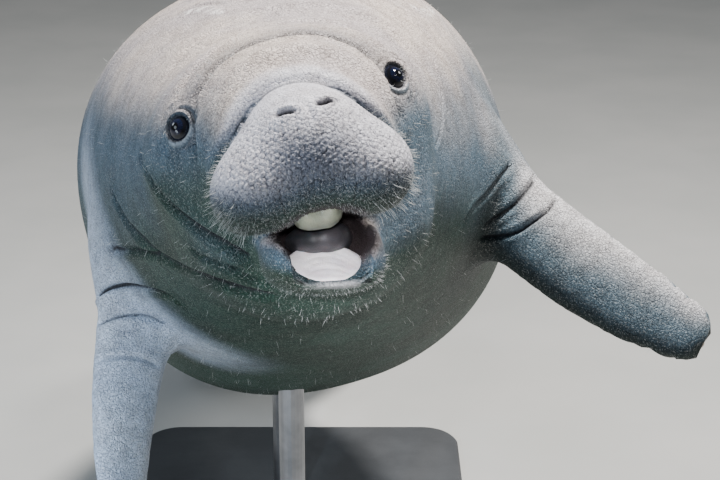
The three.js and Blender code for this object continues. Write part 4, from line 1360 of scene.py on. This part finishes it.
# Bristles and hairs
def bristle_tree(material):
    """Tapered, bent bristles standing on points: inputs are thickness, bend and taper."""
    tree = bpy.data.node_groups.new("bristles", "GeometryNodeTree")
    face = tree.interface
    face.new_socket("Points", in_out="INPUT", socket_type="NodeSocketGeometry")
    for name, value in (("Thickness", 0.03), ("Bend", 0.25), ("Taper", 0.25)):
        face.new_socket(name, in_out="INPUT", socket_type="NodeSocketFloat").default_value = value
    face.new_socket("Geometry", in_out="OUTPUT", socket_type="NodeSocketGeometry")

    def node(kind, settings, inputs):
        made = tree.nodes.new(kind)
        for name, value in settings.items():
            setattr(made, name, value)
        for key, value in inputs.items():
            if isinstance(value, bpy.types.NodeSocket):
                tree.links.new(value, made.inputs[key])
            else:
                made.inputs[key].default_value = value
        return made.outputs[0]

    def stored(name, kind="FLOAT"):
        return node("GeometryNodeInputNamedAttribute", {"data_type": kind}, {"Name": name})

    given = tree.nodes.new("NodeGroupInput").outputs
    bend = node("ShaderNodeCombineXYZ", {}, {0: given["Bend"], 2: 0.6})
    tip = node("ShaderNodeCombineXYZ", {}, {0: node("ShaderNodeMath", {"operation": "MULTIPLY"},
                                                    {0: given["Bend"], 1: 2.6}), 2: 1.0})
    line = node("GeometryNodeCurveQuadraticBezier", {},
                {"Resolution": 4, "Start": (0, 0, -0.06), "Middle": bend, "End": tip})
    along = node("GeometryNodeSplineParameter", {}, {})
    width = node("ShaderNodeMapRange", {}, {"Value": along, "To Min": 1.0, "To Max": given["Taper"]})
    width = node("ShaderNodeMath", {"operation": "MULTIPLY"}, {0: width, 1: given["Thickness"]})
    line = node("GeometryNodeStoreNamedAttribute", {"data_type": "FLOAT", "domain": "POINT"},
                {"Geometry": line, "Name": "along", "Value": along})
    circle = node("GeometryNodeCurvePrimitiveCircle", {}, {"Resolution": 4, "Radius": 1.0})
    bristle = node("GeometryNodeCurveToMesh", {},
                   {"Curve": line, "Profile Curve": circle, "Scale": width, "Fill Caps": True})
    lean = stored("lean", "FLOAT_VECTOR")
    turn = node("FunctionNodeAlignRotationToVector", {"axis": "Z"}, {"Vector": lean})
    roll = node("FunctionNodeAxisAngleToRotation", {}, {"Axis": (0, 0, 1), "Angle": stored("spin")})
    spun = node("FunctionNodeRotateRotation", {"rotation_space": "LOCAL"},
                {"Rotation": turn, "Rotate By": roll})
    placed = node("GeometryNodeInstanceOnPoints", {},
                  {"Points": given["Points"], "Instance": bristle, "Rotation": spun,
                   "Scale": stored("length")})
    real = node("GeometryNodeRealizeInstances", {}, {"Geometry": placed})
    done = node("GeometryNodeSetMaterial", {}, {"Geometry": real, "Material": material})
    tree.links.new(done, tree.nodes.new("NodeGroupOutput").inputs[0])
    return tree


UNWRAP_LENGTH = (-160.0, 2090.0)
TUFT_PATCH = 0.003
TAPER = 0.3


def unwrap(p):
    """Place on the skin opened out along the belly: round the body, and along it."""
    start, end = UNWRAP_LENGTH
    round_body = np.arctan2(p[:, 0], p[:, 2] + 60) / (2 * math.pi) + 0.5
    return 0.01 + 0.98 * np.stack([round_body, (p[:, 1] - start) / (end - start)], 1)


def pick_roots(weight, count, seed):
    """Places on the skin's faces, drawn more often where the weight of their corners is high."""
    random = np.random.default_rng(seed)
    triangles = np.array([t.vertices[:] for t in skin_mesh.loop_triangles])
    corners = skin_points[triangles]
    sides = corners[:, 1:] - corners[:, :1]
    area = np.linalg.norm(np.cross(sides[:, 0], sides[:, 1]), axis=1)
    chance = area * weight[triangles].mean(1)
    chosen = random.choice(len(triangles), count, p=chance / chance.sum())
    mix = random.dirichlet((1, 1, 1), count)

    def at(values):
        return (values[triangles[chosen]] * (mix[:, :, None] if values.ndim > 1 else mix)).sum(1)

    return at, random


def set_vectors(mesh, name, values):
    mark = mesh.attributes.new(name, "FLOAT_VECTOR", "POINT")
    mark.data.foreach_set("vector", values.astype(np.float32).ravel())


def grown_mesh(field, tree, inputs):
    """The mesh that a tree of nodes makes on a field of points, which is then removed."""
    modifier = field.modifiers.new("bristles", "NODES")
    modifier.node_group = tree
    items = tree.interface.items_tree
    sockets = {item.name: item.identifier for item in items if item.item_type == "SOCKET"}
    for name, value in inputs.items():
        modifier[sockets[name]] = float(value)
    depsgraph = bpy.context.evaluated_depsgraph_get()
    made = bpy.data.meshes.new_from_object(field.evaluated_get(depsgraph))
    bpy.data.objects.remove(field)
    return made


def grow(name, weight, count, seed, length, spread, sweep, thickness, bend):
    """Bristles where the weight is high; sweep is added to the skin's normal for their lean, as
    a direction of the straight body's left side."""
    at, random = pick_roots(weight, count, seed)
    roots, straight_roots, out = at(skin_points), at(straight), at(skin_out)
    out /= np.linalg.norm(out, axis=1)[:, None]
    sweep = np.tile(np.array(sweep, float), (count, 1))
    sweep[:, 0] *= np.sign(straight_roots[:, 0])
    lean = out + turned(sweep, straight_roots[:, 1]) + random.normal(0, spread, (count, 3))
    lengths = length(straight_roots) if callable(length) else length
    mesh = bpy.data.meshes.new(name + "_roots")
    mesh.from_pydata(roots.tolist(), [], [])
    set_mark(mesh, "length", lengths * random.uniform(0.6, 1.25, count) * METRE)
    set_mark(mesh, "spin", random.uniform(0, 2 * math.pi, count))
    set_vectors(mesh, "lean", lean)
    set_vectors(mesh, "root_place", np.column_stack([unwrap(straight_roots), np.zeros(count)]))
    inputs = {"Thickness": thickness, "Bend": bend, "Taper": TAPER}
    made = grown_mesh(add_object(name + "_roots", mesh), bristle_nodes, inputs)
    made.name = name
    add_tuft_map(made)
    piece = add_object(name, made)
    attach(piece, "root")


def add_tuft_map(mesh):
    """Each bristle is a small patch at its root's place on the skin opened out along the belly by unwrap().
    """
    count = len(mesh.vertices)
    places = np.empty(count * 3, np.float32)
    mesh.attributes["root_place"].data.foreach_get("vector", places)
    along = np.empty(count, np.float32)
    mesh.attributes["along"].data.foreach_get("value", along)
    places = places.reshape(-1, 3)[:, :2]
    across = np.mod(np.arange(count), 4) / 3.0
    patch = places + TUFT_PATCH * np.stack([across, along], 1)
    corners = np.empty(len(mesh.loops), np.int64)
    mesh.loops.foreach_get("vertex_index", corners)
    layer = mesh.uv_layers.new(name="OFBake")
    layer.data.foreach_set("uv", patch[corners].astype(np.float32).ravel())


def bristle_material():
    m = Material("pale_bristle", Roughness=0.45, Specular_IOR_Level=0.5)
    along = m.mark("along")
    tone = m.mix(along.step(0.0, 0.8), colour(160, 164, 166), colour(236, 238, 236))
    tone = m.mix(m.noise(90.0, 2.0).step(0.4, 0.7) * 0.5, tone, colour(140, 148, 150))
    return m.finish(Base_Color=tone)


skin_points, _ = mesh_arrays(skin_mesh)
skin_out = skin_normals(skin_mesh)
skin_mesh.calc_loop_triangles()
bristle_nodes = bristle_tree(bristle_material())
x, y, z = straight.T
side_on = 1 - smooth_step(0.15, 0.75, np.abs(straight_out[:, 1] + 0.25))
margin = (side_on * smooth_step(-45, -62, y) * smooth_step(-118, -98, z) * (1 - smooth_step(-44, -24, z))
          * smooth_step(36, 56, np.abs(x)))
lobes = smooth_step(-80, -100, y) * smooth_step(-128, -116, z) * (1 - smooth_step(-82, -66, z))
jaw_rim = smooth_step(-50, -74, y) * (1 - smooth_step(-140, -134, z)) * smooth_step(-190, -180, z)
chin = (1 - smooth_step(-155, -146, z)) * smooth_step(60, -40, y) * smooth_step(-235, -215, z)
body = smooth_step(-20, 60, y)
face = (1 - smooth_step(40, 90, y)) * smooth_step(-40, -20, y)


def lip_length(p):
    return 6 + 3 * smooth_step(-60, -105, p[:, 2])


def jaw_length(p):
    return 2.2 + 1.8 * smooth_step(20, 44, p[:, 0])


# Name, where they grow, count, seed, length in mm, spread and sweep of the lean, then thickness
# and bend as shares of the length
BRISTLES = (
    ("lip_bristles", margin, 420, 11, lip_length, 0.22, (0.5, -0.2, -0.45), 0.019, 0.07),
    ("lobe_stubble", lobes, 1900, 12, 1.9, 0.3, (0.3, -0.1, -0.9), 0.036, 0.1),
    ("jaw_bristles", jaw_rim, 340, 13, jaw_length, 0.3, (0.7, -0.2, 0.1), 0.028, 0.08),
    ("chin_hairs", chin, 420, 14, 2.2, 0.3, (0.2, 0.2, -0.3), 0.028, 0.12),
    ("body_hairs", body, 1500, 15, 9.0, 0.15, (0.0, 1.6, 0.0), 0.014, 0.1),
    ("face_hairs", face, 420, 16, 5.0, 0.2, (0.1, 0.7, -0.3), 0.03, 0.1),
)
for bristle_row in BRISTLES:
    grow(*bristle_row)


# Stand
def stand_material(name, dark, light, scale, rough, metal=0.0):
    m = Material(name, Metallic=metal)
    cloud = m.noise(scale, 4.0, 0.6)
    grain = m.noise(scale * 30, 3.0, 0.6)
    tone = m.mix(cloud.step(0.3, 0.7), dark, light)
    tone = m.mix(grain.step(0.6, 0.75) * 0.25, tone, light)
    return m.finish(Base_Color=tone, Roughness=rough + grain * 0.15, Normal=m.bump(grain, 0.0003, 0.35))


base_paint = stand_material("stand_paint", colour(58, 60, 63), colour(70, 72, 75), 9.0, 0.5)
rod_steel = stand_material("stand_steel", colour(112, 114, 118), colour(142, 144, 148), 14.0, 0.3, 1.0)
for node_name, node_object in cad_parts.items():
    if node_name.startswith("stand_"):
        finish_paint = base_paint if node_name == "stand_base" else rod_steel
        for material_slot in node_object.material_slots:
            material_slot.material = finish_paint


# Floor and light
FLOOR_HALF = 14.0


def make_stage():
    corners = [(-1, -1), (1, -1), (1, 1), (-1, 1)]
    mesh = bpy.data.meshes.new("floor")
    mesh.from_pydata([(a * FLOOR_HALF, b * FLOOR_HALF, 0) for a, b in corners], [], [(0, 1, 2, 3)])
    m = Material("pale_floor", Roughness=0.8)
    tone = m.mix(m.noise(3.0).step(0.3, 0.7), colour(176, 177, 175), colour(183, 183, 181))
    mesh.materials.append(m.finish(Base_Color=tone))
    add_object("studio_floor", mesh)


def add_light(name, kind, place, aim, power, tint, **settings):
    """A light at a place, turned to its aim; the other settings are those of its kind."""
    data = bpy.data.lights.new(name, kind)
    data.energy = power
    data.color = tint
    for setting, value in settings.items():
        setattr(data, setting, value)
    light = add_object(name, data)
    light.location = place
    light.rotation_euler = (Vector(aim) - Vector(place)).to_track_quat("-Z", "Y").to_euler()


# Name, place, aim, diameter, power and tint of each round panel
PANELS = (
    ("sun_panel", (0.62, -0.2, 3.6), (0.0, -0.55, 0.9), 0.45, 262, (1.0, 0.96, 0.91)),
    ("sky_panel", (-2.2, -2.4, 1.7), (-0.1, -0.6, 0.8), 1.6, 36, (0.78, 0.88, 1.0)),
    ("edge_panel", (2.5, 0.3, 3.0), (0.2, -0.3, 0.8), 1.2, 70, (1.0, 0.97, 0.93)),
    ("left_panel", (-2.6, 0.2, 2.2), (-0.2, -0.3, 0.8), 1.2, 30, (0.78, 0.88, 1.0)),
    ("front_panel", (-1.4, -2.4, 0.35), (-0.25, -0.55, 0.6), 0.9, 17, (0.80, 0.89, 1.0)),
)
SPOT_EDGE = {"spot_blend": 1.0, "shadow_soft_size": 0.05}

make_stage()
for light_name, place, aim, size, power, tint in PANELS:
    add_light(light_name, "AREA", place, aim, power, tint, shape="DISK", size=size)
pad_place = pose(np.array([(4.0, -96.0, -158.0)]))[0]
add_light("mouth_spot", "SPOT", CAMERA_PLACE + UP * 0.1, pad_place, 420, (1.0, 0.99, 1.0),
          spot_size=math.radians(4.2), **SPOT_EDGE)
blade_place = pose(flipper_place("right", np.array([190.0]), np.zeros(1), np.zeros(1)))[0]
add_light("blade_spot", "SPOT", CAMERA_PLACE - RIGHT * 0.6 + UP * 0.1, blade_place, 130,
          (0.72, 0.86, 1.0), spot_size=math.radians(11), **SPOT_EDGE)
world = bpy.data.worlds.new("studio")
world.use_nodes = True
world.node_tree.nodes["Background"].inputs["Color"].default_value = (0.80, 0.87, 0.93, 1)
world.node_tree.nodes["Background"].inputs["Strength"].default_value = 0.20
bpy.context.scene.world = world
